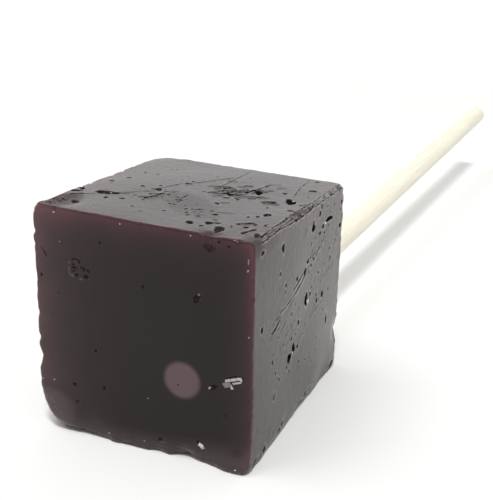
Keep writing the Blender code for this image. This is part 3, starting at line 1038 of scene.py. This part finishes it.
def face_cells(face, marks, nick_points):
    """A face's cells, as (column, row, steps across), split where a mark or a nick lies."""
    axis, _ = FACES[face]
    first = np.arange(0, LATTICE, FINEST)
    cells = np.array(np.meshgrid(first, first, indexing="ij")).reshape(2, -1).T
    finished, step = [], FINEST
    while len(cells):
        low, high = placed(on_cube(face, cells)), placed(on_cube(face, cells + step))
        middle, reach = (low + high) / 2, np.linalg.norm(high - low, axis=1) / 2
        flat = np.delete(middle, axis, axis=1)
        split = np.zeros(len(cells), bool)
        if step > 1:
            for mark in marks:
                split |= (mark.reach(flat) < reach) & (reach > finest_reach(mark))
            for point, nick_reach, _ in nick_points:
                split |= (np.linalg.norm(middle - point, axis=1) < reach + nick_reach) & (reach > NICK_CELL)
        finished += [(u, v, step) for u, v in cells[~split].tolist()]
        step //= 2
        quarters = [np.array(part) * step for part in ((0, 0), (1, 0), (0, 1), (1, 1))]
        cells = np.concatenate([cells[split] + quarter for quarter in quarters])
    return finished


def ring_of(u, v, step):
    """All the lattice spots round a cell, in order, starting at its first corner."""
    bottom = [(u + i, v) for i in range(step)]
    right = [(u + step, v + i) for i in range(step)]
    top = [(u + step - i, v + step) for i in range(step)]
    left = [(u, v + step - i) for i in range(step)]
    return bottom + right + top + left


def lattice_mesh(marks, nick_points):
    """The corners of all cells, and each cell's ring with its finer neighbours' corners in it."""
    cells = {face: face_cells(face, marks[face], nick_points) for face in FACES}
    numbers = {}

    def spot_on(face, u, v):
        axis, side = FACES[face]
        level = LATTICE if side > 0 else 0
        return ((level, u, v), (u, level, v), (u, v, level))[axis]

    for face, rows in cells.items():
        for u, v, step in rows:
            for corner in ((u, v), (u + step, v), (u + step, v + step), (u, v + step)):
                numbers.setdefault(spot_on(face, *corner), len(numbers))
    rings = []
    for face, rows in cells.items():
        axis, side = FACES[face]
        outward = (side > 0) != (axis == 1)
        for u, v, step in rows:
            spots = [spot_on(face, *spot) for spot in ring_of(u, v, step)]
            ring = [numbers[spot] for spot in spots if spot in numbers]
            rings.append(ring if outward else ring[::-1])
    return np.array(list(numbers)), rings


def press_marks(corners, points, marks):
    """Presses each face's marks into the points, and returns how deep each point is, how much crushed sugar
    and painted highlight its lip shows, and how brown it is.
    """
    cavity, lip, brown = np.zeros((3, len(points)))
    for face, (axis, side) in FACES.items():
        chosen = np.flatnonzero(corners[:, axis] == (LATTICE if side > 0 else 0))
        flat = np.delete(points[chosen], axis, axis=1)
        dent, rise, crushed_and_highlit, tint = np.zeros((4, len(chosen)))
        for mark in marks[face]:
            depth = mark.dent(flat)
            tint[depth > dent] = max(mark.brown, FACE_BROWN.get(face, 0))
            dent = np.maximum(dent, depth)
            rise = np.maximum(rise, -depth)
            if face in mark.crushed_and_highlit_on:
                crushed_and_highlit = np.maximum(crushed_and_highlit, -depth)
        points[chosen, axis] -= side * (dent - rise)
        cavity[chosen] = np.maximum(cavity[chosen], dent)
        lip[chosen] = np.maximum(lip[chosen], np.minimum(1, crushed_and_highlit / CRUSHED_AND_HIGHLIT_HEIGHT))
        brown[chosen] = np.maximum(brown[chosen], tint)
    return {"cavity": cavity, "lip": lip, "brown": brown}


def press_nicks(points, nick_points):
    """Takes small bites out of the edges, and returns how worn each point is."""
    wear = np.zeros(len(points))
    for point, reach, depth in nick_points:
        offset = points - point
        share = np.linalg.norm(offset, axis=1) / reach
        near = share < 1
        inward = (CENTRE - point) / np.linalg.norm(CENTRE - point)
        bite = (1 - share[near] ** 2) ** NICK_ROUNDING
        points[near] += bite[:, None] * depth * inward
        wear[near] = np.maximum(wear[near], bite)
    points[:, 2] = np.maximum(0, points[:, 2])
    return wear


def store(mesh, name, values):
    """Keeps a value for each point in the mesh, for its finish."""
    attribute = mesh.attributes.new(name, "FLOAT", "POINT")
    attribute.data.foreach_set("value", np.asarray(values, np.float32))


def check_form(points):
    """Stops the script if the casting no longer fits the solid that it stands for."""
    reached = np.array((points.min(axis=0), points.max(axis=0)))
    gap = np.abs(reached - np.array(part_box("candy_cube")) / MM).max()
    if gap > FORM_SLACK:
        raise ValueError(f"the candy's surface is {gap:.2f} mm off its solid")


def build_candy(seed):
    """The cast block with all its marks, bored for the stick."""
    noise.seed_set(NOISE_SEED)
    marks = face_marks(seed)
    nicks = edge_nicks(seed + 1)
    edge_points = block_points(np.array([place for place, _, _ in nicks]))
    nick_points = [(point, reach, depth) for point, (_, reach, depth) in zip(edge_points, nicks)]
    corners, rings = lattice_mesh(marks, nick_points)
    points = placed(corners)
    traces = press_marks(corners, points, marks)
    traces["wear"] = press_nicks(points, nick_points)
    check_form(points)
    mesh = bpy.data.meshes.new("candy")
    mesh.from_pydata((points * MM).tolist(), [], rings)
    for name, values in traces.items():
        store(mesh, name, values)
    candy = bpy.data.objects.new("candy", mesh)
    bpy.context.scene.collection.objects.link(candy)
    bore_candy(candy)
    return candy


# ---------------------------------------------------------------- the stick

def stick_shape():
    """The stick's inner end, its direction, its radius and its length in millimetres, from its solid."""
    points = np.array([vertex.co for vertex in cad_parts["stick"].data.vertices]) / MM
    far = points[:, 1] > (points[:, 1].min() + points[:, 1].max()) / 2
    near_middle, far_middle = points[~far].mean(axis=0), points[far].mean(axis=0)
    way = (far_middle - near_middle) / np.linalg.norm(far_middle - near_middle)
    along = (points - near_middle) @ way
    radius = np.linalg.norm(points - near_middle - along[:, None] * way, axis=1).max()
    return near_middle + along.min() * way, way, radius, along.max() - along.min()


def stick_exit():
    """Where the stick's line leaves the back face."""
    start, way, _, _ = stick_shape()
    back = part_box("candy_cube")[1][1] / MM - DISH
    return start + way * (back - start[1]) / way[1]


def along_stick(heights, radii, sides, relief):
    """A round bar round +Z from its rings' heights and radii, with its ends closed by a fan."""
    bar = bmesh.new()
    rings = []
    for height, radius in zip(heights, radii):
        ring = []
        for i in range(sides):
            angle = 2 * math.pi * i / sides
            reach = radius - relief(angle, height, radius)
            ring.append(bar.verts.new((reach * math.cos(angle), reach * math.sin(angle), height)))
        rings.append(ring)
    for lower, upper in zip(rings, rings[1:]):
        for i in range(sides):
            j = (i + 1) % sides
            bar.faces.new((lower[i], lower[j], upper[j], upper[i]))
    for ring, height in ((rings[0], heights[0]), (rings[-1], heights[-1])):
        hub = bar.verts.new((0, 0, height))
        for i in range(sides):
            bar.faces.new((ring[i], ring[(i + 1) % sides], hub))
    bmesh.ops.recalc_face_normals(bar, faces=bar.faces)
    return bar


def set_on_line(bar, start, way, name):
    """Turns a bar in millimetres round +Z to the stick's line, and makes it an object in metres."""
    turn = Vector(way).to_track_quat("Z", "Y").to_matrix().to_4x4()
    to_line = Matrix.Scale(MM, 4) @ Matrix.Translation(Vector(start)) @ turn
    bmesh.ops.transform(bar, matrix=to_line, verts=bar.verts)
    mesh = bpy.data.meshes.new(name)
    bar.to_mesh(mesh)
    bar.free()
    item = bpy.data.objects.new(name, mesh)
    bpy.context.scene.collection.objects.link(item)
    return item


def bore_candy(candy):
    """Cuts the stick's hole into the candy."""
    start, way, radius, length = stick_shape()
    bar = along_stick((-BORE_SLACK, length), (radius + BORE_SLACK,) * 2, BORE_SIDES, lambda *_: 0.0)
    cutter = set_on_line(bar, start, way, "bore")
    cut = candy.modifiers.new("bore", "BOOLEAN")
    cut.object = cutter
    cut.solver = "EXACT"
    graph = bpy.context.evaluated_depsgraph_get()
    bored = bpy.data.meshes.new_from_object(candy.evaluated_get(graph))
    candy.modifiers.clear()
    candy.data = bored
    bpy.data.objects.remove(cutter)


def build_stick(fibre_depth):
    """The birch stick, with fine ridges along it and bevelled ends."""
    start, way, radius, length = stick_shape()
    depth = fibre_depth / MM

    def streaks(angle, height, fineness, stretch, start=0):
        spot = (math.cos(angle) * fineness, math.sin(angle) * fineness, height / stretch + start)
        return 0.5 + 0.5 * noise.noise(Vector(spot))

    def relief(angle, height, ring_radius):
        lines = streaks(angle, height, *FIBRE_LINES)
        flats = streaks(angle, height, *FIBRE_FLATS, FLATS_START)
        return depth * (lines + FLATS_DEPTH * flats) * ring_radius / radius

    body = np.linspace(STICK_CHAMFER, length - STICK_CHAMFER, STICK_RINGS)
    heights = [0, *body, length - STICK_CHAMFER / 2, length, length, length]
    radii = [radius - STICK_CHAMFER] + [radius] * STICK_RINGS
    blunted = radius - BLUNTING * STICK_CHAMFER
    radii += [blunted, radius - STICK_CHAMFER, *(share * radius for share in END_RINGS)]
    return set_on_line(along_stick(heights, radii, STICK_SIDES, relief), start, way, "birch_stick")


# ---------------------------------------------------------------- loose flakes and painted glints

# Shards of sugar that stick to the candy, and pale shards painted as glints in holes and on edges:
# (place on the face, length, width, turn, how pale)
SHARDS = {
    "front": (
        ((10.2, 10.3), 1.95, 0.3, 20, 0.58), ((10.7, 10.05), 1.05, 0.2, 20, 0.5),
        ((11.1, 10.5), 0.4, 0.24, -70, 0.6), ((9.65, 9.65), 0.9, 0.6, 20, 0.2),
        ((10.1, 9.5), 0.6, 0.27, -60, 0.55), ((6.78, 2.1), 0.62, 0.42, -35, 0.8),
        ((6.95, 1.86), 0.45, 0.34, 35, 0.42), ((7.75, 8.92), 0.35, 0.2, 40, 0.35),
        ((6.5, 18.65), 0.4, 0.36, 80, 0.3), ((0.7, 6.2), 0.13, 0.12, 0, 0.35),
        ((11.8, 22.9), 0.6, 0.15, 86, 0.2), ((11.75, 22.0), 0.3, 0.17, 60, 0.25),
        ((11.9, 15.2), 0.25, 0.15, 60, 0.25), ((10.9, 0.6), 0.22, 0.17, 10, 0.6),
        ((0.2, 1.1), 0.2, 0.15, 30, 0.35), ((-10.7, 6.1), 0.15, 0.13, 0, 0.5),
        ((-12.1, 6.0), 0.13, 0.12, 20, 0.5), ((-10.0, 24.95), 0.2, 0.15, 15, 0.6),
        ((-4.1, 1.0), 0.2, 0.15, 0, 0.4), ((-2.1, 24.75), 0.2, 0.15, 0, 0.4),
        ((5.7, 24.6), 0.2, 0.16, -15, 0.4), ((-9.4, 21.9), 0.12, 0.12, 30, 0.35),
    ),
    "top": (
        ((10.3, 2.3), 0.3, 0.25, 0, 0.8), ((-8.1, -5.6), 0.25, 0.2, 20, 0.5),
        ((-8.9, -5.8), 0.2, 0.17, 60, 0.4), ((11.3, -8.0), 0.2, 0.15, 60, 0.5),
        ((9.9, -4.3), 0.16, 0.14, 60, 0.5),
    ),
    "right": (
        ((1.95, 13.25), 0.5, 0.36, 80, 1.0), ((6.75, 21.2), 0.5, 0.22, 0, 0.9),
        ((-2.35, 8.75), 0.3, 0.2, 0, 0.6),
    ),
}
SHARD_THICKNESS = (0.45, 0.2)                   # of its width, and the most
SHARD_KNOCKS = (0.7, 1.05)                      # how far its corners were knocked in and out, of its size
SHARD_SPAN = 0.7                                # how far it feels for a hole's rim, of its length
FALL = 5                                        # how far off the block a flake starts to fall on it


def add_shard(heap, length, width, matrix, paleness, draw):
    """One flake: the hull of a small box whose corners were knocked about."""
    thickness = min(SHARD_THICKNESS[0] * width, SHARD_THICKNESS[1])
    layer = heap.verts.layers.float.get("pale") or heap.verts.layers.float.new("pale")
    made = []
    for corner in np.ndindex(2, 2, 2):
        reach = [(2 * side - 1) * draw.uniform(*SHARD_KNOCKS) for side in corner]
        point = Vector((reach[0] * length, reach[1] * width, reach[2] * thickness)) / 2
        vertex = heap.verts.new(matrix @ (point * MM))
        vertex[layer] = paleness
        made.append(vertex)
    hull = bmesh.ops.convex_hull(heap, input=made, use_existing_faces=False)
    unused = hull["geom_interior"] + hull["geom_unused"]
    loose = [item for item in unused if isinstance(item, bmesh.types.BMVert)]
    bmesh.ops.delete(heap, geom=loose, context="VERTS")


def seat_on(candy, face, place, reach):
    """The matrix that lays a flake on the candy, caught on the rim of any hole under it, with its own X
    along the face's first direction."""
    axis, side = FACES[face]
    outward = Vector(np.insert(np.zeros(2), axis, side))
    hits = []
    for step in ((0, 0), (-reach, 0), (reach, 0), (0, -reach), (0, reach)):
        start = Vector(np.insert(np.add(place, step), axis, CENTRE[axis])) + outward * (HALF[axis] + FALL)
        hits.append(candy.ray_cast(start * MM, -outward))
    hit, point, normal, _ = hits[0]
    if not hit:
        raise ValueError(f"a flake lies off the candy's {face}")
    sunk = max((rim - point).dot(outward) for found, rim, _, _ in hits if found)
    if sunk > HOLE_DEPTHS[1] * MM:
        point, normal = point + outward * sunk, outward
    across = Vector((1, 0, 0)) if axis else Vector((0, 1, 0))
    across = (across - across.dot(normal) * normal).normalized()
    turned = Matrix((across, normal.cross(across), normal)).transposed().to_4x4()
    return Matrix.Translation(point) @ turned


def build_flakes_and_glints(candy, seed):
    """The loose sugar flakes and the pale shards painted as glints, lying on the candy."""
    draw = random.Random(seed)
    heap = bmesh.new()
    for face, rows in SHARDS.items():
        for place, length, width, turn, paleness in rows:
            spin = Matrix.Rotation(math.radians(turn), 4, "Z")
            seat = seat_on(candy, face, place, 0.0 if face == "front" else SHARD_SPAN * length)
            add_shard(heap, length, width, seat @ spin, paleness, draw)
    mesh = bpy.data.meshes.new("sugar_flakes_and_glints")
    heap.to_mesh(mesh)
    heap.free()
    flakes_and_glints = bpy.data.objects.new("sugar_flakes_and_glints", mesh)
    bpy.context.scene.collection.objects.link(flakes_and_glints)
    return flakes_and_glints


# ---------------------------------------------------------------- finishes

def fade(gap, name):
    """Something that is full at a wall and fades with the distance to it."""
    strength, reach = FADES[name]
    return strength * (gap.largest(0) / -reach).exponent()


def candy_glow(look, place, masks, mottle):
    """The candy's near-black colour, with painted light that gets through its thin edges: pink by the left
    edge, crimson along the others, and reddest down the front right edge."""
    x, y, z = place
    front, ends, top, side = masks
    line_place, lean = GLOW_LINE
    pink = fade(x + HALF[0], "pink") * (1 - side)
    crimson = (fade(RIGHT_GLOW - x, "right") + fade(x + HALF[0], "left")) * (1 - side)
    crimson = crimson + (fade(y + HALF[1], "front") + fade(HALF[1] - y, "back")) * (1 - ends)
    crimson = crimson + fade(TOP_GLOW - z, "top") * (1 - top) + fade(z, "bottom")
    line = fade(line_place + lean * z - x, "line") * front * (0.25 + 0.75 * z.rise(*LINE_HEIGHTS))
    colour = tuple(look.body_colour) + pink * (0.6 + 0.8 * mottle) * tuple(look.rim_colour)
    colour = colour + crimson * (0.6 + 0.8 * mottle) * tuple(look.edge_through_light_colour)
    return colour + line * (0.5 + mottle) * tuple(look.line_through_light_colour)


def candy_relief(finish, place, masks, rough_patch):
    """Fine relief: silk on the sides, a fine grain and pinpricks on the top, specks all over."""
    x, y, z = finish.split(place)
    front, _, top, side = masks
    silk = finish.clouds(place, "silk") * (0.15 + 0.7 * z.rise(*SILK_HEIGHTS))
    grain = finish.clouds(place, "grain")
    pricks = finish.dots(place, "all_over") * (1 - front) + finish.dots(place, "rubbed") * rough_patch
    dust = finish.clouds(place, "dust")
    height = side * silk * 0.8 + top * grain * 0.5 - pricks
    smooth = side * z.rise(*SMOOTH_HEIGHTS)
    height = height + (0.05 + 0.1 * (1 - front) * (1 - 0.8 * smooth) + 0.3 * rough_patch) * dust
    waves = finish.bump(finish.clouds(place, "waves"), WAVE_DEPTH)
    return finish.bump(height, RELIEF_DEPTH, waves), side * silk + top * grain, dust


def stick_spot(look, place):
    """How far the stick's end shows through the front at a place."""
    start, _, _, _ = stick_shape()
    x, _, z = place
    away = ((x - start[0] - SPOT_SHIFT[0]) ** 2 + (z - start[2] - SPOT_SHIFT[1]) ** 2) ** 0.5
    edge = look.spot_diameter / MM / 2
    return away.rise(edge + SPOT_BLUR, edge - SPOT_BLUR)


def candy_film_and_sheen(finish, place, masks, bare):
    """How thickly the dull film and its painted sheen lie: least near the front edges and where the candy is
    bare, and on the sides more towards the top.
    """
    x, y, z = finish.split(place)
    front, _, top, side = masks
    thicker = (y * FILM_AND_SHEEN_WAY[0] + z * FILM_AND_SHEEN_WAY[1]).rise(*FILM_AND_SHEEN_LIMITS)
    on_top = top * 0.55 * (1 - fade(y + HALF[1], "thin_film_and_sheen_top"))
    on_side = side * (0.2 + 0.8 * thicker) * (1 - fade(y + HALF[1], "thin_film_and_sheen_side"))
    # Painted sheen: the sides lighter towards the top
    on_side = on_side * (0.64 + z * 0.018)
    melting_sheen = (z - x.rise(*MELT_DIP) * 0.7).rise(*MELT_HEIGHTS)
    on_front = front * (0.04 + 0.07 * x.rise(*FRONT_FILM_AND_SHEEN) + 0.5 * melting_sheen)
    film_and_sheen = (on_top + on_side + on_front) * (0.45 + 0.9 * finish.clouds(place, "film_and_sheen"))
    return (film_and_sheen * (1 - bare)).smallest(1)


def patch(name, place, mottle):
    """A cloudy patch: 1 in its middle and 0 outside."""
    middle, reaches, limits = PATCHES[name]
    squares = [((spot - at) / reach) ** 2 for spot, at, reach in zip(place, middle, reaches)]
    return (sum(squares[1:], squares[0]) + mottle).rise(*limits)


def stippled_patch(x, y, mottle):
    """The rough patch that lies across the top."""
    x, y = x - STIPPLE_PLACE[0], y - STIPPLE_PLACE[1]
    along = x * STIPPLE_WAY[0] + y * STIPPLE_WAY[1]
    across = x * STIPPLE_WAY[1] - y * STIPPLE_WAY[0]
    return patch("stippled", (across, along), mottle)


def knocked_bevel(y, bevel):
    """How worn the bevel is: most where it was knocked, and some at its front end."""
    knocked = (-(((y - KNOCK_PLACE) / KNOCK_REACH / KNOCK_COLOUR) ** 2)).exponent()
    return (knocked + y.rise(*WORN_START) * 0.45) * bevel


def candy_finish(look):
    """Near-black candy: painted light getting through as a burgundy glow along the rims, the stick's pale end
    behind the front, a dull film with painted sheen on the handled faces, painted shade in the wounds with
    brown on their shallow floors, crushed lips with painted highlights, and fine scratches and pinpricks."""
    material, finish = new_finish("dark_candy")
    place = finish.place()
    x, y, z = finish.split(place)
    nx, ny, nz = finish.split(finish.facing())
    front, ends = (-ny).rise(*END_FACING), ny.distance().rise(*END_FACING)
    top, side = nz.rise(*SIDE_FACING), nx.distance().rise(*SIDE_FACING)
    masks = (front, ends, top, side)
    bevel = (nx * nz * 2).rise(*BEVEL_FACING)
    cavity, lip, brown, wear = (finish.stored(name) for name in ("cavity", "lip", "brown", "wear"))
    mottle = finish.clouds(place, "mottle")

    stippled = stippled_patch(x, y, mottle) * top
    chafed = patch("chafed", (x, y), mottle) * top
    melted_sheen = patch("melted_sheen", (x, z), mottle) * front
    smudged = patch("smudged", (y, z), mottle) * side
    corner = patch("corner", (x, y, z), mottle)
    knocked = knocked_bevel(y, bevel)
    rubbed = (chafed * 0.75 + corner * (1 - front) + knocked * 0.7).smallest(1)

    # Painted light getting through the thin edges, on the candy's near-black colour
    colour = candy_glow(look, (x, y, z), masks, mottle)
    colour = finish.mix(stick_spot(look, (x, y, z)) * front * 0.96, colour, look.spot_colour)
    normal, relief, dust = candy_relief(finish, place, masks, (stippled + chafed).smallest(1))
    worn = wear * 0.7 + knocked + chafed * 0.8 + smudged * 0.5 + corner * (1 - front)
    worn = (worn * (0.4 + 0.8 * mottle)).smallest(1)
    bare = (stippled * 0.12 + worn + bevel).smallest(1)
    # Dull film and painted sheen, with more on the front's melted foot
    film_and_sheen = candy_film_and_sheen(finish, place, masks, bare) + melted_sheen * dust
    colour = colour + film_and_sheen * tuple(look.film_and_sheen_colour)
    colour = finish.mix(bevel * (1 - knocked) * (0.6 + 0.8 * dust), colour, look.bevel_colour)
    colour = finish.mix(worn, colour, look.bruise_colour)
    # Crushed sugar with painted highlight on the lips: strongest on the sides, faintest on the front
    crushed_and_highlit = lip * (0.35 + 0.6 * side - 0.12 * front) * (0.5 + dust)
    colour = finish.mix(crushed_and_highlit.smallest(1), colour, look.crushed_and_highlight_colour)
    rough = look.gloss + (1 - front) * (0.04 + 0.10 * relief) + stippled * 0.06 + dust * 0.04 + worn * 0.12
    whole = finish.surface(Base_Color=colour, Roughness=rough, IOR=1.36, Normal=normal)

    # Painted shade in the holes: a near-black floor with almost no gloss, lighter and browner on shallow
    # floors; rubbed places take the same dull surface in their bruise colour
    inside = finish.mix(brown.largest(rubbed), look.wound_shade_colour, look.bruise_colour)
    broken = finish.surface(Base_Color=inside, Roughness=0.5, IOR=1.36, Specular_IOR_Level=0.05)
    hole = (cavity.rise(*HOLE_DEPTHS) * (1 - 0.1 * brown)).largest(rubbed * dust * 0.75)
    finish.show(finish.blend(hole, whole, broken))
    return material


def stick_finish(look):
    """Birch: fine grain along the stick, short dark pores and a syrup stain by the candy."""
    material, finish = new_finish("pale_wood")
    start, way, radius, _ = stick_shape()
    place = finish.place()
    offset = place - tuple(start)
    along = finish.along(offset, way)
    across = offset - along * tuple(way)
    ax, _, az = finish.split(across)

    def drawn_out(fineness, stretch):
        return finish.join(ax * fineness, along * stretch, az * fineness)

    stretched = drawn_out(*GRAIN_STRETCH)
    grain = finish.clouds(stretched, "wood")
    pores = finish.clouds(drawn_out(*PORE_STRETCH), "pores").rise(*PORE_LIMITS)
    share = (grain.rise(*GRAIN_LIMITS) * 0.6 + pores * 0.5).smallest(1)
    colour = finish.mix(share, look.wood_colour, look.grain_colour)
    exit_along = float(np.dot(stick_exit() - start, way))
    stain = (along - exit_along).rise(*STAIN_REACHES) * (0.35 + 0.9 * finish.clouds(stretched, "stain"))
    colour = finish.mix((stain * 0.8).smallest(1), colour, look.stain_colour)
    normal = finish.bump(grain - 0.4 * pores, GRAIN_DEPTH)
    finish.show(finish.surface(Base_Color=colour, Roughness=0.55 + 0.2 * grain, IOR=1.45, Normal=normal))
    return material


def flake_and_glint_finish(look):
    """Loose sugar, and pale shards as painted glints: pale to nearly clear, slightly waxy, with a few darker
    clouds of candy in it.
    """
    material, finish = new_finish("sugar_flake_and_glint")
    place = finish.place()
    clouds = finish.clouds(place, "sugar")
    share = finish.stored("pale") * (0.6 + 0.4 * clouds.rise(*SUGAR_LIMITS))
    colour = finish.mix(share, look.clear_colour, look.flake_and_glint_colour)
    normal = finish.bump(finish.clouds(place, "wax"), SUGAR_DEPTH)
    finish.show(finish.surface(Base_Color=colour, Roughness=0.25 + 0.2 * clouds, IOR=1.5, Normal=normal))
    return material


def floor_finish(look):
    """A plain pale matt floor that is lit up towards its far edge."""
    material, finish = new_finish("pale_floor")
    x, y, _ = finish.split(finish.place())
    far = ((x ** 2 + y ** 2) ** 0.5).rise(*FAR_FLOOR)
    finish.show(finish.surface(
        Base_Color=look.floor_colour, Roughness=0.9, Specular_IOR_Level=0.1,
        Emission_Color=far * tuple(look.floor_colour), Emission_Strength=look.far_light))
    return material


# ---------------------------------------------------------------- the studio

CAMERA_PLACE = Vector((40.13, -81.61, 48.87)) * MM
CAMERA_AZIMUTH = 22.87
CAMERA_ELEVATION = 18.65
CAMERA_ROLL = 0.8
CAMERA_CLIP = (0.005, 20.0)
FLOOR_LEVEL = -0.02 * MM
FLOOR_SIDES = 96
LIGHT_DISTANCE = 1.5
LEFT_WAY = (-0.40, -0.20, 0.90)                 # to the left light and to the lamp
LAMP_WAY = (0.17, -0.36, 0.92)
FAR_WALL = (-0.2, 0.9)                          # how far back the brighter wall starts, and how high it ends
WALL_TOP = (0.9, 0.3)
CANDY_SHARPNESS = 75                            # the angles in degrees above which an edge is drawn sharp
STICK_SHARPNESS = 40


def add_camera(look):
    """The camera, above the front right corner of the candy."""
    data = bpy.data.cameras.new("camera")
    data.lens = look.lens
    data.clip_start, data.clip_end = CAMERA_CLIP
    camera = bpy.data.objects.new("camera", data)
    camera.location = CAMERA_PLACE
    turn = Matrix.Rotation(math.radians(CAMERA_AZIMUTH), 3, "Z")
    tip = Matrix.Rotation(math.radians(90 - CAMERA_ELEVATION), 3, "X")
    roll = Matrix.Rotation(math.radians(CAMERA_ROLL), 3, "Z")
    camera.rotation_euler = (turn @ tip @ roll).to_euler()
    bpy.context.scene.collection.objects.link(camera)
    bpy.context.scene.camera = camera


def add_light(name, direction, power, size, glints):
    """A soft square light that shines at the candy from a direction, with or without glints in the gloss."""
    data = bpy.data.lights.new(name, "AREA")
    data.size = size
    data.energy = power
    light = bpy.data.objects.new(name, data)
    light.visible_glossy = glints
    way = Vector(direction).normalized()
    light.location = way * LIGHT_DISTANCE
    light.rotation_euler = way.to_track_quat("Z", "Y").to_euler()
    bpy.context.scene.collection.objects.link(light)


def add_floor(look):
    """The round floor, just below the candy."""
    disc = bmesh.new()
    level = Matrix.Translation((0, 0, FLOOR_LEVEL))
    bmesh.ops.create_circle(
        disc, cap_ends=True, segments=FLOOR_SIDES, radius=look.floor_radius, matrix=level)
    mesh = bpy.data.meshes.new("floor")
    disc.to_mesh(mesh)
    disc.free()
    floor = bpy.data.objects.new("floor", mesh)
    mesh.materials.append(floor_finish(look))
    bpy.context.scene.collection.objects.link(floor)


def light_room(look):
    """A white room whose far wall is brighter than the rest."""
    world = bpy.data.worlds.new("room")
    world.use_nodes = True
    finish = Finish(world.node_tree)
    direction = Signal(finish, finish.node("ShaderNodeTexCoord").outputs["Generated"])
    _, far, up = finish.split(direction)
    strength = look.room_light + look.back_light * far.rise(*FAR_WALL) * up.rise(*WALL_TOP)
    background = finish.node("ShaderNodeBackground", None, {"Color": (1.0, 1.0, 1.0), "Strength": strength})
    finish.node("ShaderNodeOutputWorld", None, {"Surface": Signal(finish, background.outputs[0])})
    bpy.context.scene.world = world
    bpy.context.scene.view_settings.view_transform = "Standard"


# ---------------------------------------------------------------- operators and panel

class LOLLIPOP_OT_set_studio(bpy.types.Operator):
    """Adds the camera, the lights, the room and the floor"""

    bl_idname = "lollipop.set_studio"
    bl_label = "Set Studio"

    def execute(self, context):
        look = context.scene.lollipop_studio
        add_camera(look)
        add_floor(look)
        light_room(look)
        add_light("left_light", LEFT_WAY, look.left_power, look.left_size, glints=False)
        add_light("right_light", LAMP_WAY, look.right_power, look.right_size, glints=True)
        return {"FINISHED"}


class LOLLIPOP_OT_cast_candy(bpy.types.Operator):
    """Casts the candy block with its marks, and gives it its finish"""

    bl_idname = "lollipop.cast_candy"
    bl_label = "Cast Candy"

    def execute(self, context):
        look = context.scene.lollipop_candy
        candy = build_candy(look.seed)
        candy.data.materials.clear()
        candy.data.materials.append(candy_finish(look))
        candy.data.shade_smooth()
        candy.data.set_sharp_from_angle(angle=math.radians(CANDY_SHARPNESS))
        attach(candy, "root")
        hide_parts("candy_cube")
        return {"FINISHED"}


class LOLLIPOP_OT_turn_stick(bpy.types.Operator):
    """Turns the birch stick and gives it its grain"""

    bl_idname = "lollipop.turn_stick"
    bl_label = "Turn Stick"

    def execute(self, context):
        look = context.scene.lollipop_stick
        stick = build_stick(look.fibre_depth)
        stick.data.materials.append(stick_finish(look))
        stick.data.shade_smooth()
        stick.data.set_sharp_from_angle(angle=math.radians(STICK_SHARPNESS))
        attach(stick, "root")
        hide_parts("stick")
        return {"FINISHED"}


class LOLLIPOP_OT_scatter_flakes_and_glints(bpy.types.Operator):
    """Lays the loose sugar flakes and the shards painted as glints on the candy"""

    bl_idname = "lollipop.scatter_flakes"
    bl_label = "Scatter Flakes"

    def execute(self, context):
        look = context.scene.lollipop_flakes
        flakes_and_glints = build_flakes_and_glints(bpy.data.objects["candy"], look.seed)
        flakes_and_glints.data.materials.append(flake_and_glint_finish(look))
        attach(flakes_and_glints, "root")
        return {"FINISHED"}


class LOLLIPOP_PT_maker(bpy.types.Panel):
    """The lollipop's steps and settings"""

    bl_idname = "LOLLIPOP_PT_maker"
    bl_label = "Cube Lollipop"
    bl_space_type = "VIEW_3D"
    bl_region_type = "UI"
    bl_category = "Lollipop"

    def draw(self, context):
        for operator, settings in STEPS:
            box = self.layout.box()
            box.operator(operator.bl_idname)
            group = getattr(context.scene, settings)
            for name in type(group).__annotations__:
                box.prop(group, name)


STEPS = (
    (LOLLIPOP_OT_set_studio, "lollipop_studio"),
    (LOLLIPOP_OT_cast_candy, "lollipop_candy"),
    (LOLLIPOP_OT_turn_stick, "lollipop_stick"),
    (LOLLIPOP_OT_scatter_flakes_and_glints, "lollipop_flakes"),
)
SETTINGS = {
    "lollipop_studio": LollipopStudioSettings,
    "lollipop_candy": LollipopCandySettings,
    "lollipop_stick": LollipopStickSettings,
    "lollipop_flakes": LollipopFlakeAndGlintSettings,
}


def register():
    for name, group in SETTINGS.items():
        bpy.utils.register_class(group)
        setattr(bpy.types.Scene, name, PointerProperty(type=group))
    for operator, _ in STEPS:
        bpy.utils.register_class(operator)
    bpy.utils.register_class(LOLLIPOP_PT_maker)


def unregister():
    bpy.utils.unregister_class(LOLLIPOP_PT_maker)
    for operator, _ in reversed(STEPS):
        bpy.utils.unregister_class(operator)
    for name, group in SETTINGS.items():
        delattr(bpy.types.Scene, name)
        bpy.utils.unregister_class(group)


def main():
    """Makes everything in order."""
    register()
    bpy.ops.lollipop.set_studio()
    bpy.ops.lollipop.cast_candy()
    bpy.ops.lollipop.turn_stick()
    bpy.ops.lollipop.scatter_flakes()


if __name__ == "__main__":
    main()
